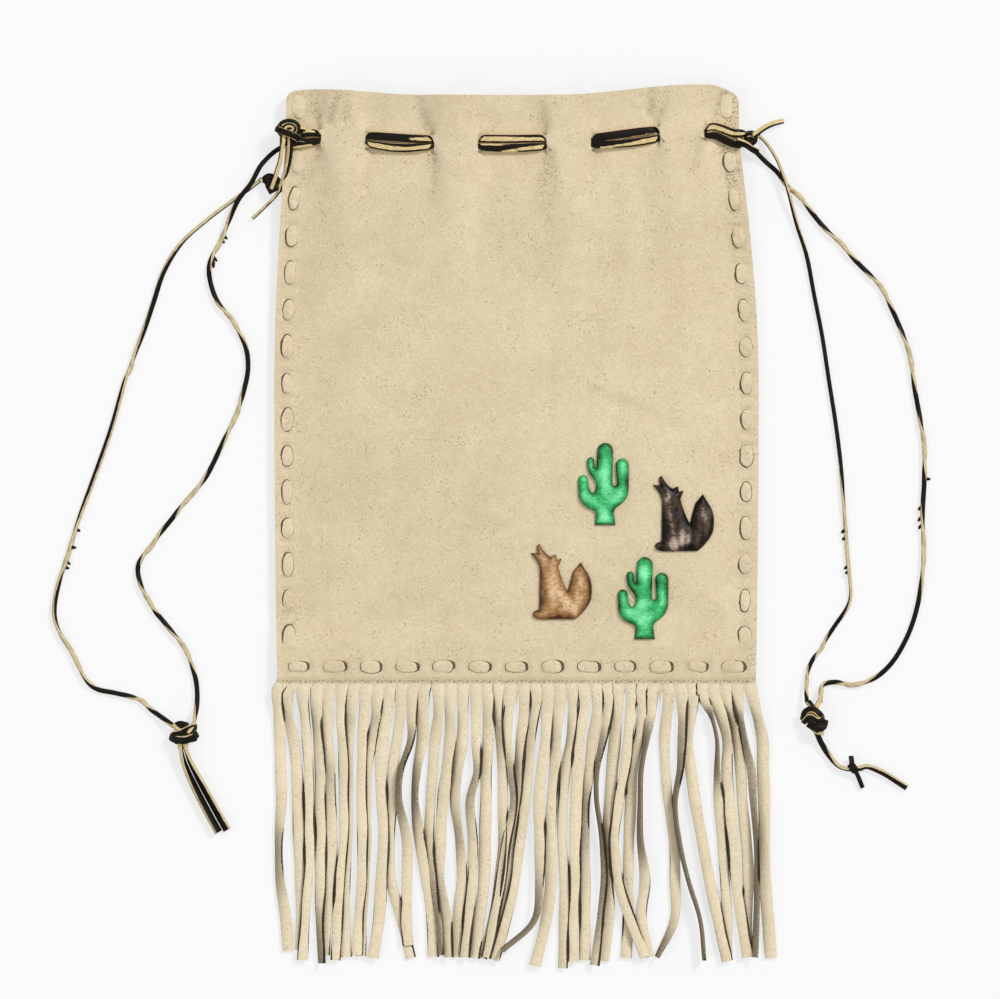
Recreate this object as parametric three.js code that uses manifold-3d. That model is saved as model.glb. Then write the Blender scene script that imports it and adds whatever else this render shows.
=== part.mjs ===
// A fringed suede drawstring bag that lies on its back, mouth towards +Y.
// Two panels are laced together with a running stitch of suede thong, a cut fringe is held in the
// bottom seam, and two leather laces run through slits round the mouth and form the shoulder loops.
// Millimetres. X runs across the bag, Z up from the table. The origin is on the back panel's underside.

import * as THREE from "three";
import { mergeVertices } from "three/addons/utils/BufferGeometryUtils.js";
import Module from "manifold-3d";

const wasm = await Module();
wasm.setup();

// Panels
const PANEL_WIDTH = 242;
const MOUTH_WIDTH = 226;
const BOTTOM_WIDTH = 239;
const PANEL_LENGTH = 293.6;
const SUEDE_THICKNESS = 1.4;
const TOP_CORNER_RADIUS = 5;
const BOTTOM_CORNER_RADIUS = 7;
const WIDENING_LENGTH = 125;
const MOUTH_SHIFT = -2;
const CLEARANCE = 0.3;

// The pouch as it lies: how far the front panel stands up, and how the mouth's edge curves
const POUCH_DEPTH = 8;
const MOUTH_DEPTH = 6;
const POUCH_RISE_LENGTH = 120;
const CROWN_POWER = 2.6;
const LEFT_CLIMB = 2.9;
const LEFT_CLIMB_START = 0.4;
const LEFT_CLIMB_SHARE = 0.45;
const RIGHT_CLIMB = 5.3;
const RIGHT_CLIMB_START = 0.2;
const RIGHT_CLIMB_SHARE = 0.62;
const LEFT_CORNER_DROOP = 0.65;
const RIGHT_CORNER_DROOP = 4.05;
const DROOP_START = 0.87;
const FLAT_SHARE = 0.7;
const SEAM_DROP_START = 20;
const SEAM_DROP_LENGTH = 50;
const HEADER_STEP_LENGTH = 20;
const SIDE_BAND = 11;
const BOTTOM_BAND = 14;

// Drawstring laces, flat in the mouth and rolled in where they hang free, and the slits they pass through
const LACE_WIDTH = 4.2;
const FREE_LACE_WIDTH = 2.8;
const LACE_THICKNESS = 2.2;
const DRAWSTRING_DROP = 22.6;
const TUCK_PITCH = 56.4;
const WINDOW_LENGTH = 34;
const SLIT_WIDTH = 5;
const RIPPLE_LENGTH = 85;
const RIPPLE_AT_TOP = 0.8;
const CUT_HEIGHT = 60;

// Edge lacing
const THONG_WIDTH = 6.5;
const THONG_THICKNESS = 1.2;
const STITCH_LENGTH = 12;
const STITCH_PITCH = 18.2;
const STITCH_PUFF = 1.1;
const SIDE_STITCH_INSET = 6.2;
const BOTTOM_STITCH_INSET = 8.25;
const TOP_STITCH_INSET = 8.2;
const CORNER_STITCH_RISE = 15;
const CORNER_STITCH_INSET = 11;
const THONG_TAIL = 2.5;

// Fringe
const HEADER_HEIGHT = 14;
const HEADER_DROP = 3.5;
const FRINGE_LENGTH = 136;
const STRAND_PITCH = 6;
const STRAND_GAP = 0.9;
const FRINGE_LEAN = 3.2;
const FRINGE_SPREAD = 4.2;
const STRAND_SWAY = 2.2;
const STRAND_TWIST = 0.6;
const STRAND_TRIM = 5;
const FRINGE_FALL = 0.16;

// Padded motifs: size, and how far each one's foot is in from the right edge and up from the bottom edge
const MOTIF_THICKNESS = 2.6;
const MOTIF_BEVEL = 1.1;
const MOTIF_GAP = 0.5;
const UPPER_CACTUS_PLACE = [76.8, 79];
const LOWER_CACTUS_PLACE = [57, 22];
const DARK_COYOTE_PLACE = [38, 65.6];
const GOLD_COYOTE_PLACE = [99, 31.6];

// Knots in the laces: length along the winding, and diameter
const LEFT_HITCH_KNOT = [12.6, 8];
const LEFT_LOWER_KNOT = [11, 8];
const LEFT_END_KNOT = [14, 10];
const RIGHT_HITCH_KNOT = [7.5, 7];
const RIGHT_END_KNOT = [13.5, 12];
const RIGHT_TAIL_KNOT = [5.5, 6];
const KNOT_FLATNESS = 0.75;

// Where the knots lie, across and along from the mouth's corner on their side
const LEFT_HITCH_PLACE = [1.5, 4.1];
const LEFT_LOWER_PLACE = [-7, -23.2];
const LEFT_END_PLACE = [-51, -299.8];
const RIGHT_HITCH_PLACE = [7.6, -0.8];
const RIGHT_END_PLACE = [38, -289.2];
const RIGHT_TAIL_PLACE = [57.3, -314.6];

// The free laces are routed beside panels that are this much wider at each side than the mouth
const ROUTE_FLARE = 8;
const ROUTE_FLARE_LENGTH = 60;

// Levels and lines that follow from the sizes
const top = PANEL_LENGTH / 2;
const bottom = -PANEL_LENGTH / 2;
const laceLine = top - DRAWSTRING_DROP;
const bandTop = bottom + BOTTOM_BAND;
const laceOffset = LACE_WIDTH / 2 + CLEARANCE;
const slitHeight = 2 * LACE_WIDTH + 4 * CLEARANCE;
const seamLift = THONG_THICKNESS + CLEARANCE;
const mouthSeamLift = THONG_THICKNESS + LACE_THICKNESS + 3 * CLEARANCE;
const weave = SUEDE_THICKNESS + LACE_THICKNESS + 2 * CLEARANCE;
const layer = SUEDE_THICKNESS + CLEARANCE;
const holeWidth = THONG_WIDTH + 2 * CLEARANCE;
const holeLength = THONG_THICKNESS + 2 * CLEARANCE;

const clamp01 = (t) => Math.min(1, Math.max(0, t));
const mix = (a, b, t) => a + (b - a) * t;
const smooth = (t) => clamp01(t) ** 2 * (3 - 2 * clamp01(t));

// Outline of the panels, and the sideways and upward shift of the mouth
function widening(y) {
  return Math.sin((Math.PI / 2) * clamp01((laceLine - y) / WIDENING_LENGTH));
}

function halfWidth(y) {
  const taper = ((PANEL_WIDTH - BOTTOM_WIDTH) / 2) * clamp01(-y / top) ** 2;
  return mix(MOUTH_WIDTH, PANEL_WIDTH, widening(y)) / 2 - taper;
}

function centreX(y) {
  return MOUTH_SHIFT * (1 - widening(y));
}

function cornerInset(distance, radius) {
  const left = Math.max(0, radius - distance);
  return radius - Math.sqrt(radius * radius - left * left);
}

function mouthRise(x, y) {
  const u = (x - MOUTH_SHIFT) / (MOUTH_WIDTH / 2);
  const left = LEFT_CLIMB * smooth((-u - LEFT_CLIMB_START) / LEFT_CLIMB_SHARE);
  const right = RIGHT_CLIMB * smooth((u - RIGHT_CLIMB_START) / RIGHT_CLIMB_SHARE);
  const corner = u < 0 ? LEFT_CORNER_DROOP : RIGHT_CORNER_DROOP;
  const droop = corner * smooth((Math.abs(u) - DROOP_START) / (1 - DROOP_START));
  const fade = smooth(1 - (laceLine - slitHeight - y) / WIDENING_LENGTH);
  return (left + right - droop) * fade;
}

// Underside heights of the two panels
const crown = (u) => 1 - clamp01(Math.abs(u)) ** CROWN_POWER;

function seamHeight(y) {
  return mix(seamLift, mouthSeamLift, smooth(1 - (laceLine - SEAM_DROP_START - y) / SEAM_DROP_LENGTH));
}

function frontSeam(y) {
  return seamHeight(y) + layer + layer * smooth(1 - (y - bandTop) / HEADER_STEP_LENGTH);
}

function across(x, y) {
  return (x - centreX(y)) / (halfWidth(y) - SIDE_BAND);
}

// 1 where the lace is tucked behind the front panel, 0 in a window
function tuck(x) {
  const fromWindow = Math.abs(x - TUCK_PITCH * Math.round(x / TUCK_PITCH));
  const inside = Math.abs(x) < 2 * TUCK_PITCH - WINDOW_LENGTH / 2;
  return inside && fromWindow > WINDOW_LENGTH / 2 ? 1 : 0;
}

function rippleFade(y, length) {
  const above = mix(1, RIPPLE_AT_TOP, clamp01((y - laceLine - slitHeight) / DRAWSTRING_DROP));
  const below = (1 - clamp01((laceLine - slitHeight - y) / length)) ** 1.8;
  return Math.min(above, below);
}

function frontUnderside(x, y, tucked) {
  const rise = 1 - (1 - clamp01((y - bandTop) / POUCH_RISE_LENGTH)) ** 2;
  const plain = frontSeam(y) + POUCH_DEPTH * crown(across(x, y)) * rise;
  const gathered = frontSeam(y) + MOUTH_DEPTH * crown(across(x, y)) + weave * tucked;
  return mix(plain, gathered, rippleFade(y, RIPPLE_LENGTH));
}

function backUnderside(x, y, tucked) {
  const u = Math.abs(across(x, y));
  const toSides = smooth((u - FLAT_SHARE) / (1 - FLAT_SHARE));
  const toBottom = smooth(1 - (y - bandTop) / HEADER_STEP_LENGTH);
  const plain = seamHeight(y) * Math.max(toSides, toBottom);
  const gathered = (1 - tucked) * mix(weave, mouthSeamLift, clamp01((u - 0.9) * 10));
  return mix(plain, gathered, rippleFade(y, RIPPLE_LENGTH / 2));
}

const frontTop = (x, y) => frontUnderside(x, y, 0) + SUEDE_THICKNESS;

// Closed solids from plain vertices and triangles
function toSolid(positions, triangles) {
  const vertProperties = new Float32Array(positions.flat());
  const triVerts = new Uint32Array(triangles.flat());
  return new wasm.Manifold(new wasm.Mesh({ numProp: 3, vertProperties, triVerts }));
}

function geometrySolid(geometry) {
  const bare = geometry.clone();
  bare.deleteAttribute("normal");
  bare.deleteAttribute("uv");
  const merged = mergeVertices(bare, 1e-5);
  const vertProperties = new Float32Array(merged.attributes.position.array);
  const triVerts = new Uint32Array(merged.index.array);
  return new wasm.Manifold(new wasm.Mesh({ numProp: 3, vertProperties, triVerts }));
}

function solidGeometry(solid) {
  const mesh = solid.getMesh();
  const geometry = new THREE.BufferGeometry();
  geometry.setAttribute("position", new THREE.BufferAttribute(new Float32Array(mesh.vertProperties), 3));
  geometry.setIndex(new THREE.BufferAttribute(new Uint32Array(mesh.triVerts), 1));
  geometry.computeVertexNormals();
  return geometry;
}

function turnedBox(width, length, height, x, y, angle) {
  const box = new THREE.BoxGeometry(width, length, height);
  box.rotateZ(angle);
  box.translate(x, y, 0);
  return geometrySolid(box);
}

// A skin between rings of the same number of points, closed at both ends
function loft(rings) {
  const sides = rings[0].length;
  const triangles = [];
  for (let r = 0; r + 1 < rings.length; r += 1) {
    for (let s = 0; s < sides; s += 1) {
      const a = r * sides + s;
      const b = r * sides + ((s + 1) % sides);
      triangles.push([a, b, b + sides], [a, b + sides, a + sides]);
    }
  }
  const last = (rings.length - 1) * sides;
  for (let s = 1; s + 1 < sides; s += 1) {
    triangles.push([0, s + 1, s], [last, last + s, last + s + 1]);
  }
  return toSolid(rings.flat(), triangles);
}

// The four corners of a strip's section; side and normal are half its width and half its thickness
function stripRing(centre, side, normal) {
  const corner = (a, b) => centre.clone().addScaledVector(side, a).addScaledVector(normal, b).toArray();
  return [corner(-1, -1), corner(1, -1), corner(1, 1), corner(-1, 1)];
}

// Panels are sheets between rows of points, dense where the mouth is gathered
const halfPitch = TUCK_PITCH / 2;
const foldColumns = [-3, -2, -1, 0, 1, 2, 3].map((k) => k * halfPitch);
const slitPlaces = [-2, -1, 0, 1, 2]
  .flatMap((k) => [k * TUCK_PITCH - WINDOW_LENGTH / 2, k * TUCK_PITCH + WINDOW_LENGTH / 2])
  .slice(1, -1);

function mouthRow(y) {
  const ramp = SLIT_WIDTH / 2 - CLEARANCE;
  const inner = [...foldColumns, ...slitPlaces.flatMap((x) => [x - ramp, x + ramp])].sort((a, b) => a - b);
  const points = inner.map((x) => [x + MOUTH_SHIFT, tuck(x)]);
  return withEdges(points, y);
}

function plainRow(y) {
  const scale = (halfWidth(y) - SIDE_BAND) / (MOUTH_WIDTH / 2 - SIDE_BAND);
  const points = foldColumns.map((x) => [x * scale + centreX(y), tuck(x)]);
  return withEdges(points, y);
}

function withEdges(points, y) {
  const inset = cornerInset(top - y, TOP_CORNER_RADIUS) + cornerInset(y - bottom, BOTTOM_CORNER_RADIUS);
  const band = halfWidth(y) - SIDE_BAND;
  const edge = halfWidth(y) - inset;
  const outer = [-edge, -band].map((x) => [centreX(y) + x, 0]);
  const right = [band, edge].map((x) => [centreX(y) + x, 0]);
  return [...outer, ...points, ...right].map(([x, tucked]) => [x, y, tucked]);
}

function panelRows() {
  const gathered = [top, top - 1.5, top - TOP_CORNER_RADIUS, laceLine + slitHeight];
  gathered.push(laceLine - slitHeight / 2 - 2, laceLine - 1.6 * slitHeight);
  const start = gathered[gathered.length - 1];
  const shares = [0.07, 0.17, 0.29, 0.44, 0.6, 0.77, 0.92, 1];
  const plain = shares.map((share) => mix(start, bandTop, share));
  plain.push(bottom + BOTTOM_CORNER_RADIUS, bottom + 2, bottom);
  return [...gathered.map(mouthRow), ...plain.map(plainRow)];
}

function panelSolid(underside) {
  const rows = panelRows();
  const starts = [];
  const lower = [];
  for (const row of rows) {
    starts.push(lower.length);
    for (const [x, y, tucked] of row) {
      lower.push([x, y + mouthRise(x, y), underside(x, y, tucked)]);
    }
  }
  const upper = lower.map(([x, y, z]) => [x, y, z + SUEDE_THICKNESS]);
  const count = lower.length;
  const triangles = [];
  for (let r = 0; r + 1 < rows.length; r += 1) {
    let i = 0;
    let j = 0;
    const [a, b] = [rows[r], rows[r + 1]];
    while (i + 1 < a.length || j + 1 < b.length) {
      const stepUpper = j + 1 >= b.length || (i + 1 < a.length && a[i + 1][0] <= b[j + 1][0]);
      const [p, q] = [starts[r] + i, starts[r + 1] + j];
      const next = stepUpper ? p + 1 : q + 1;
      triangles.push([p + count, q + count, next + count], [p, next, q]);
      i += stepUpper ? 1 : 0;
      j += stepUpper ? 0 : 1;
    }
  }
  const last = rows.length - 1;
  const left = starts;
  const right = starts.map((s, r) => s + rows[r].length - 1);
  const lowEdge = rows[last].map((_, i) => starts[last] + i);
  const topEdge = rows[0].map((_, i) => i);
  const wayUp = [...right.slice(0, last).reverse(), ...topEdge.slice(1, -1).reverse()];
  const rim = [...left, ...lowEdge.slice(1), ...wayUp];
  rim.forEach((p, i) => {
    const q = rim[(i + 1) % rim.length];
    triangles.push([p, q, q + count], [p, q + count, p + count]);
  });
  return toSolid([...lower, ...upper], triangles);
}

// Stitches in order: down the left edge, along the bottom and up the right edge
function stitchList() {
  const sideFirst = laceLine - slitHeight / 2 - CLEARANCE - holeLength - STITCH_LENGTH / 2;
  const rowLine = bottom + BOTTOM_STITCH_INSET;
  const sideLast = rowLine + CORNER_STITCH_RISE;
  const sideSteps = Math.round((sideFirst - sideLast) / STITCH_PITCH);
  const heights = [top - TOP_STITCH_INSET];
  for (let k = 0; k <= sideSteps; k += 1) {
    heights.push(mix(sideFirst, sideLast, k / sideSteps));
  }
  const reach = halfWidth(rowLine) - CORNER_STITCH_INSET;
  const rowSteps = Math.round((2 * reach) / STITCH_PITCH);
  const sideX = (y, sign) => centreX(y) + sign * (halfWidth(y) - SIDE_STITCH_INSET);
  const side = (sign, up) => (y) => {
    const ahead = new THREE.Vector2(sideX(y + up, sign) - sideX(y, sign), up).normalize();
    const x = sideX(y, sign);
    return { centre: new THREE.Vector2(x, y + mouthRise(x, y)), along: ahead };
  };
  const row = [];
  for (let k = 0; k <= rowSteps; k += 1) {
    const centre = new THREE.Vector2(mix(-reach, reach, k / rowSteps), rowLine);
    row.push({ centre, along: new THREE.Vector2(1, 0) });
  }
  return [...heights.map(side(-1, -1)), ...row, ...[...heights].reverse().map(side(1, 1))];
}

const stitches = stitchList();
const stitchEnds = ({ centre, along }) =>
  [-1, 1].map((sign) => centre.clone().addScaledVector(along, (sign * STITCH_LENGTH) / 2));

function punches() {
  const all = stitches.flatMap((stitch) => {
    const angle = stitch.along.angle();
    return stitchEnds(stitch).map(({ x, y }) => turnedBox(holeLength, holeWidth, CUT_HEIGHT, x, y, angle));
  });
  return all.reduce((joined, punch) => joined.add(punch));
}

function slits() {
  const all = slitPlaces.map((place) => {
    const x = place + MOUTH_SHIFT;
    const slope = mouthRise(x + 1, laceLine) - mouthRise(x, laceLine);
    const y = laceLine + mouthRise(x, laceLine);
    return turnedBox(SLIT_WIDTH, slitHeight, CUT_HEIGHT, x, y, Math.atan(slope));
  });
  return all.reduce((joined, slit) => joined.add(slit));
}

// One thong: through each hole, over the front for a stitch, and behind the back to the next
function lacingSolid() {
  const up = new THREE.Vector3(0, 0, 1);
  const half = THONG_THICKNESS / 2;
  const rings = [];
  const station = (point, along, z, lean) => {
    const ahead = new THREE.Vector3(along.x, along.y, 0);
    const side = new THREE.Vector3(-along.y, along.x, 0).multiplyScalar(THONG_WIDTH / 2);
    const normal = up.clone().addScaledVector(ahead, lean).multiplyScalar(half);
    rings.push(stripRing(new THREE.Vector3(point.x, point.y, z), side, normal));
  };
  const below = (p) => seamHeight(p.y) - CLEARANCE - half;
  const above = (p) => frontSeam(p.y) + SUEDE_THICKNESS + CLEARANCE + half;
  const first = stitches[0];
  const tail = stitchEnds(first)[0].addScaledVector(first.along, -THONG_TAIL);
  station(tail, first.along, below(tail), 0);
  for (const stitch of stitches) {
    const [enter, leave] = stitchEnds(stitch);
    station(enter, stitch.along, below(enter), -1);
    station(enter, stitch.along, above(enter), -1);
    station(stitch.centre, stitch.along, above(stitch.centre) + STITCH_PUFF, 0);
    station(leave, stitch.along, above(leave), 1);
    station(leave, stitch.along, below(leave), 1);
  }
  const final = stitches[stitches.length - 1];
  const end = stitchEnds(final)[1].addScaledVector(final.along, THONG_TAIL);
  station(end, final.along, below(end), 0);
  return loft(rings);
}

// Fringe: a header in the seam, and strands that fall to the table, sway and turn
const fringeHalf = halfWidth(bottom);
const strandCount = Math.round((2 * fringeHalf) / STRAND_PITCH);
const headerFloor = seamLift + layer;

function strandSolid(index) {
  const u = ((index + 0.5) / strandCount) * 2 - 1;
  const half = fringeHalf / strandCount - STRAND_GAP / 2;
  const root = bottom - HEADER_DROP + 1;
  const length = FRINGE_LENGTH + 1 - STRAND_TRIM * (0.5 + 0.5 * Math.sin(index * 2.3));
  const sway = STRAND_SWAY * Math.sin(index * 0.9);
  const tip = FRINGE_LEAN + FRINGE_SPREAD * u + 1.2 * Math.sin(index * 1.7);
  const level = index % 2 ? SUEDE_THICKNESS + CLEARANCE : 0;
  const rings = [];
  for (const t of [0, 0.07, 0.2, 0.42, 0.7, 1]) {
    const open = smooth((t - 0.05) / 0.3);
    const turn = STRAND_TWIST * open * Math.sin(index * 1.9 + 3.1 * t);
    const x = u * fringeHalf + tip * t * t + sway * open * Math.sin(5.2 * t + index * 0.6);
    const lying = 0.15 + half * Math.abs(Math.sin(turn)) + (SUEDE_THICKNESS / 2) * Math.cos(turn) + level;
    const z = mix(headerFloor + SUEDE_THICKNESS / 2, lying, smooth((t - 0.02) / FRINGE_FALL));
    const side = new THREE.Vector3(Math.cos(turn), 0, Math.sin(turn)).multiplyScalar(half);
    const normal = new THREE.Vector3(-Math.sin(turn), 0, Math.cos(turn)).multiplyScalar(SUEDE_THICKNESS / 2);
    rings.push(stripRing(new THREE.Vector3(x, root - length * t, z), side, normal));
  }
  return loft(rings);
}

function fringeSolid() {
  const height = HEADER_HEIGHT + HEADER_DROP;
  const header = new THREE.BoxGeometry(2 * fringeHalf, height, SUEDE_THICKNESS);
  header.translate(0, bottom + HEADER_HEIGHT - height / 2, headerFloor + SUEDE_THICKNESS / 2);
  let fringe = geometrySolid(header);
  for (let index = 0; index < strandCount; index += 1) {
    fringe = fringe.add(strandSolid(index));
  }
  return fringe.subtract(punches());
}

// Motif outlines, foot at the origin
function cactusShape() {
  const shape = new THREE.Shape();
  shape.moveTo(-5.1, 0);
  shape.lineTo(5.1, 0);
  shape.lineTo(4.3, 6);
  shape.quadraticCurveTo(4.4, 8.2, 7.4, 10);
  shape.quadraticCurveTo(11.8, 12.8, 11.8, 19);
  shape.lineTo(11.8, 29.9);
  shape.absarc(8.5, 29.9, 3.3, 0, Math.PI, false);
  shape.lineTo(5.9, 20.6);
  shape.quadraticCurveTo(5, 18.2, 3.6, 20.6);
  shape.lineTo(4, 37);
  shape.absarc(0, 37, 4, 0, Math.PI, false);
  shape.lineTo(-4.3, 28.6);
  shape.lineTo(-5.2, 28.6);
  shape.lineTo(-5.5, 32);
  shape.absarc(-7.3, 32, 1.8, 0, Math.PI, false);
  shape.quadraticCurveTo(-9.4, 26.8, -6.2, 23.6);
  shape.quadraticCurveTo(-4.4, 21.6, -4.5, 18.6);
  shape.quadraticCurveTo(-6.2, 13.6, -8, 18.4);
  shape.lineTo(-8.5, 22.4);
  shape.absarc(-11, 22.4, 2.5, 0, Math.PI, false);
  shape.lineTo(-13.2, 14.6);
  shape.quadraticCurveTo(-12.2, 9.4, -7, 7.8);
  shape.quadraticCurveTo(-4.6, 7, -4.6, 5);
  shape.closePath();
  return shape;
}

function coyoteShape() {
  const shape = new THREE.Shape();
  shape.moveTo(-9.4, 0.2);
  shape.lineTo(7.4, 0.4);
  shape.quadraticCurveTo(13, 4.6, 15.2, 10.3);
  shape.quadraticCurveTo(16.8, 19, 12.8, 24.3);
  shape.lineTo(10, 28.8);
  shape.lineTo(6.4, 24.6);
  shape.quadraticCurveTo(4.6, 19.4, 3.6, 13.8);
  shape.quadraticCurveTo(0.6, 19.4, -1.2, 26.4);
  shape.lineTo(0.4, 30.6);
  shape.lineTo(-1.9, 30);
  shape.lineTo(-2.5, 32.7);
  shape.lineTo(-5.2, 31.6);
  shape.quadraticCurveTo(-8.4, 33.4, -10.6, 38.1);
  shape.lineTo(-12, 37);
  shape.lineTo(-11.4, 33.2);
  shape.lineTo(-15, 33.4);
  shape.quadraticCurveTo(-11, 29.4, -10.4, 25.2);
  shape.lineTo(-10.7, 5);
  shape.quadraticCurveTo(-14.2, 4.8, -13.9, 2.6);
  shape.quadraticCurveTo(-13.2, 0.4, -9.4, 0.2);
  return shape;
}

function motifGeometry(shape, [fromRight, fromBottom]) {
  const depth = MOTIF_THICKNESS - 2 * MOTIF_BEVEL;
  const puff = new THREE.ExtrudeGeometry(shape, {
    depth,
    bevelThickness: MOTIF_BEVEL,
    bevelSize: MOTIF_BEVEL / 2,
    bevelOffset: -MOTIF_BEVEL / 2,
    bevelSegments: 1,
    curveSegments: 2,
  });
  puff.translate(PANEL_WIDTH / 2 - fromRight, bottom + fromBottom, MOTIF_BEVEL + MOTIF_GAP);
  const place = puff.attributes.position;
  for (let i = 0; i < place.count; i += 1) {
    place.setZ(i, place.getZ(i) + frontTop(place.getX(i), place.getY(i)));
  }
  return puff;
}

// Laces round the mouth. Each goes along the front, bends round the far edge and comes back behind.
const leftEdge = centreX(laceLine) - halfWidth(laceLine);
const rightEdge = centreX(laceLine) + halfWidth(laceLine);
const leftAnchor = new THREE.Vector3(leftEdge, laceLine + mouthRise(leftEdge, laceLine), 0);
const rightAnchor = new THREE.Vector3(rightEdge, laceLine + mouthRise(rightEdge, laceLine), 0);
const laceBelow = CLEARANCE + LACE_THICKNESS / 2;
const edgeTop = mouthSeamLift + 2 * SUEDE_THICKNESS + CLEARANCE;
const laceAbove = edgeTop + CLEARANCE + LACE_THICKNESS / 2;

function frontLaceHeight(x) {
  return frontUnderside(x, laceLine, 0) + SUEDE_THICKNESS + CLEARANCE + LACE_THICKNESS / 2;
}

function backLaceHeight(x) {
  const inside = SUEDE_THICKNESS + CLEARANCE + LACE_THICKNESS / 2;
  const lastSlit = slitPlaces[slitPlaces.length - 1];
  const dip = clamp01((Math.abs(x - MOUTH_SHIFT) - lastSlit + SLIT_WIDTH / 2) / SLIT_WIDTH);
  return mix(inside, laceBelow, dip);
}

function drawstringSolid(side, frontEnd) {
  const row = mouthRow(laceLine).map(([x]) => x);
  const edgeInset = 1.5;
  const leftPair = [row[0] + edgeInset, mix(row[0], row[1], 0.5)];
  const rightPair = [mix(row[row.length - 2], row[row.length - 1], 0.5), row[row.length - 1] - edgeInset];
  const columns = [...leftPair, ...row.slice(1, -1), ...rightPair];
  const order = side < 0 ? columns : [...columns].reverse();
  const farEdge = side < 0 ? rightEdge : leftEdge;
  const nearEdge = side < 0 ? leftEdge : rightEdge;
  const frontOffset = side < 0 ? laceOffset : -laceOffset;
  const lineAt = (x) => laceLine + mouthRise(x, laceLine);
  const points = [[frontEnd, lineAt(nearEdge) + frontOffset, laceAbove]];
  for (const x of order.filter((place) => side * (frontEnd - place) > 0)) {
    points.push([x, lineAt(x) + frontOffset, frontLaceHeight(x)]);
  }
  const bendOut = 3 * CLEARANCE + LACE_THICKNESS / 2;
  for (const [out, share] of [[1.1, 0.02], [bendOut, 0.25], [bendOut, 0.75], [1.1, 0.98]]) {
    const y = lineAt(farEdge) + mix(frontOffset, -frontOffset, smooth(2 * share - 0.5));
    points.push([farEdge - side * out, y, mix(laceAbove, laceBelow, share)]);
  }
  for (const x of [...order].reverse()) {
    points.push([x, lineAt(x) - frontOffset, backLaceHeight(x)]);
  }
  const backEnd = nearEdge + side * (bendOut + LACE_THICKNESS / 2 + CLEARANCE);
  points.push([backEnd, lineAt(nearEdge) - frontOffset, laceBelow]);
  const path = points.map((p) => new THREE.Vector3(...p));
  const width = new THREE.Vector3(0, LACE_WIDTH / 2, 0);
  const rings = path.map((point, i) => {
    const before = path[Math.max(0, i - 1)];
    const after = path[Math.min(path.length - 1, i + 1)];
    const ahead = after.clone().sub(before).setY(0).normalize();
    const normal = new THREE.Vector3(-ahead.z, 0, ahead.x).multiplyScalar(LACE_THICKNESS / 2);
    return stripRing(point, width, normal);
  });
  return loft(rings);
}

// Routes of the free laces: across and along from the corner of the mouth, and lift above the table
const LEFT_OUTER_ROUTE = [
  [-12.4, -21.4, 0.3], [-19.25, -26.75, 0], [-27.75, -32.75, 0], [-40.25, -42.25, 0], [-51.75, -52.75, 0],
  [-60.75, -67.25, 0], [-65.75, -82.25, 0], [-70.75, -96.75, 0], [-79.25, -118.25, 0], [-87.25, -146.25, 0],
  [-96.25, -171.75, 0], [-104.75, -194.75, 0], [-112.75, -220.25, 0], [-115.75, -237.75, 0],
  [-113.75, -247.25, 0], [-107.75, -257.75, 0], [-99.75, -271.75, 0], [-94.75, -275.75, 0],
  [-85.75, -277.75, 0], [-76.25, -280.25, 0], [-67.75, -286, 0], [-60, -291.5, 1.2], [-56, -294, 2.4],
];
const LEFT_INNER_ROUTE = [
  [-5.3, -2.6, 0.1], [-5.9, -6.8, 0.3], [-8.75, -10.75, 1.2], [-12.25, -14.75, 2.2], [-17.25, -23.75, 2.9],
  [-23.75, -32.25, 2.8], [-28.75, -42.75, 1.2], [-33.75, -53.25, 0], [-37.25, -60.75, 0],
  [-38.25, -68.25, 0], [-34.75, -81.25, 0], [-26.25, -93.75, 0], [-20.25, -104.25, 0],
  [-18.75, -115.75, 0], [-21.25, -128.25, 0], [-26.75, -142.25, 0], [-32.75, -156.25, 0],
  [-40.25, -170.75, 0], [-49.75, -181.25, 0], [-56.75, -191.25, 0], [-65.25, -201.25, 0],
  [-71.25, -209.25, 0], [-73.75, -215.25, 0], [-73.25, -221.25, 0], [-69.75, -231.25, 0],
  [-60.25, -243.25, 0], [-53.25, -252.75, 0], [-47.25, -263.75, 0], [-44.75, -272.25, 0],
  [-44.25, -283.25, 0.6], [-46.6, -294, 2.4],
];
const LEFT_OUTER_TAIL_ROUTE = [
  [-53.6, -305.4, 2.4], [-51.8, -313, 0.8], [-46, -326, 0], [-39.2, -339, 0], [-34.75, -348.25, 0],
];
const LEFT_INNER_TAIL_ROUTE = [
  [-49, -305.4, 2.4], [-47.2, -311.4, 0.8], [-41.4, -324, 0], [-34.4, -337, 0], [-28.75, -346.25, 0],
];
const LEFT_SHORT_END_ROUTE = [[-6.6, -30, 2], [-11, -34.8, 0.3], [-17, -41, 0]];
const LEFT_DROP_OUTER_ROUTE = [[-2, -0.2, 10.4], [-3.4, -6.3, 9.8], [-4.8, -12.2, 8.2], [-6.4, -17.7, 5.3]];
const LEFT_DROP_INNER_ROUTE = [
  [2.1, -0.8, 10.4], [1, -5, 10], [-0.4, -9.5, 9], [-0.8, -15, 8.4], [-1.4, -19.4, 8.2], [-3.2, -23, 8],
  [-4.9, -25.2, 6.5],
];
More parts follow.
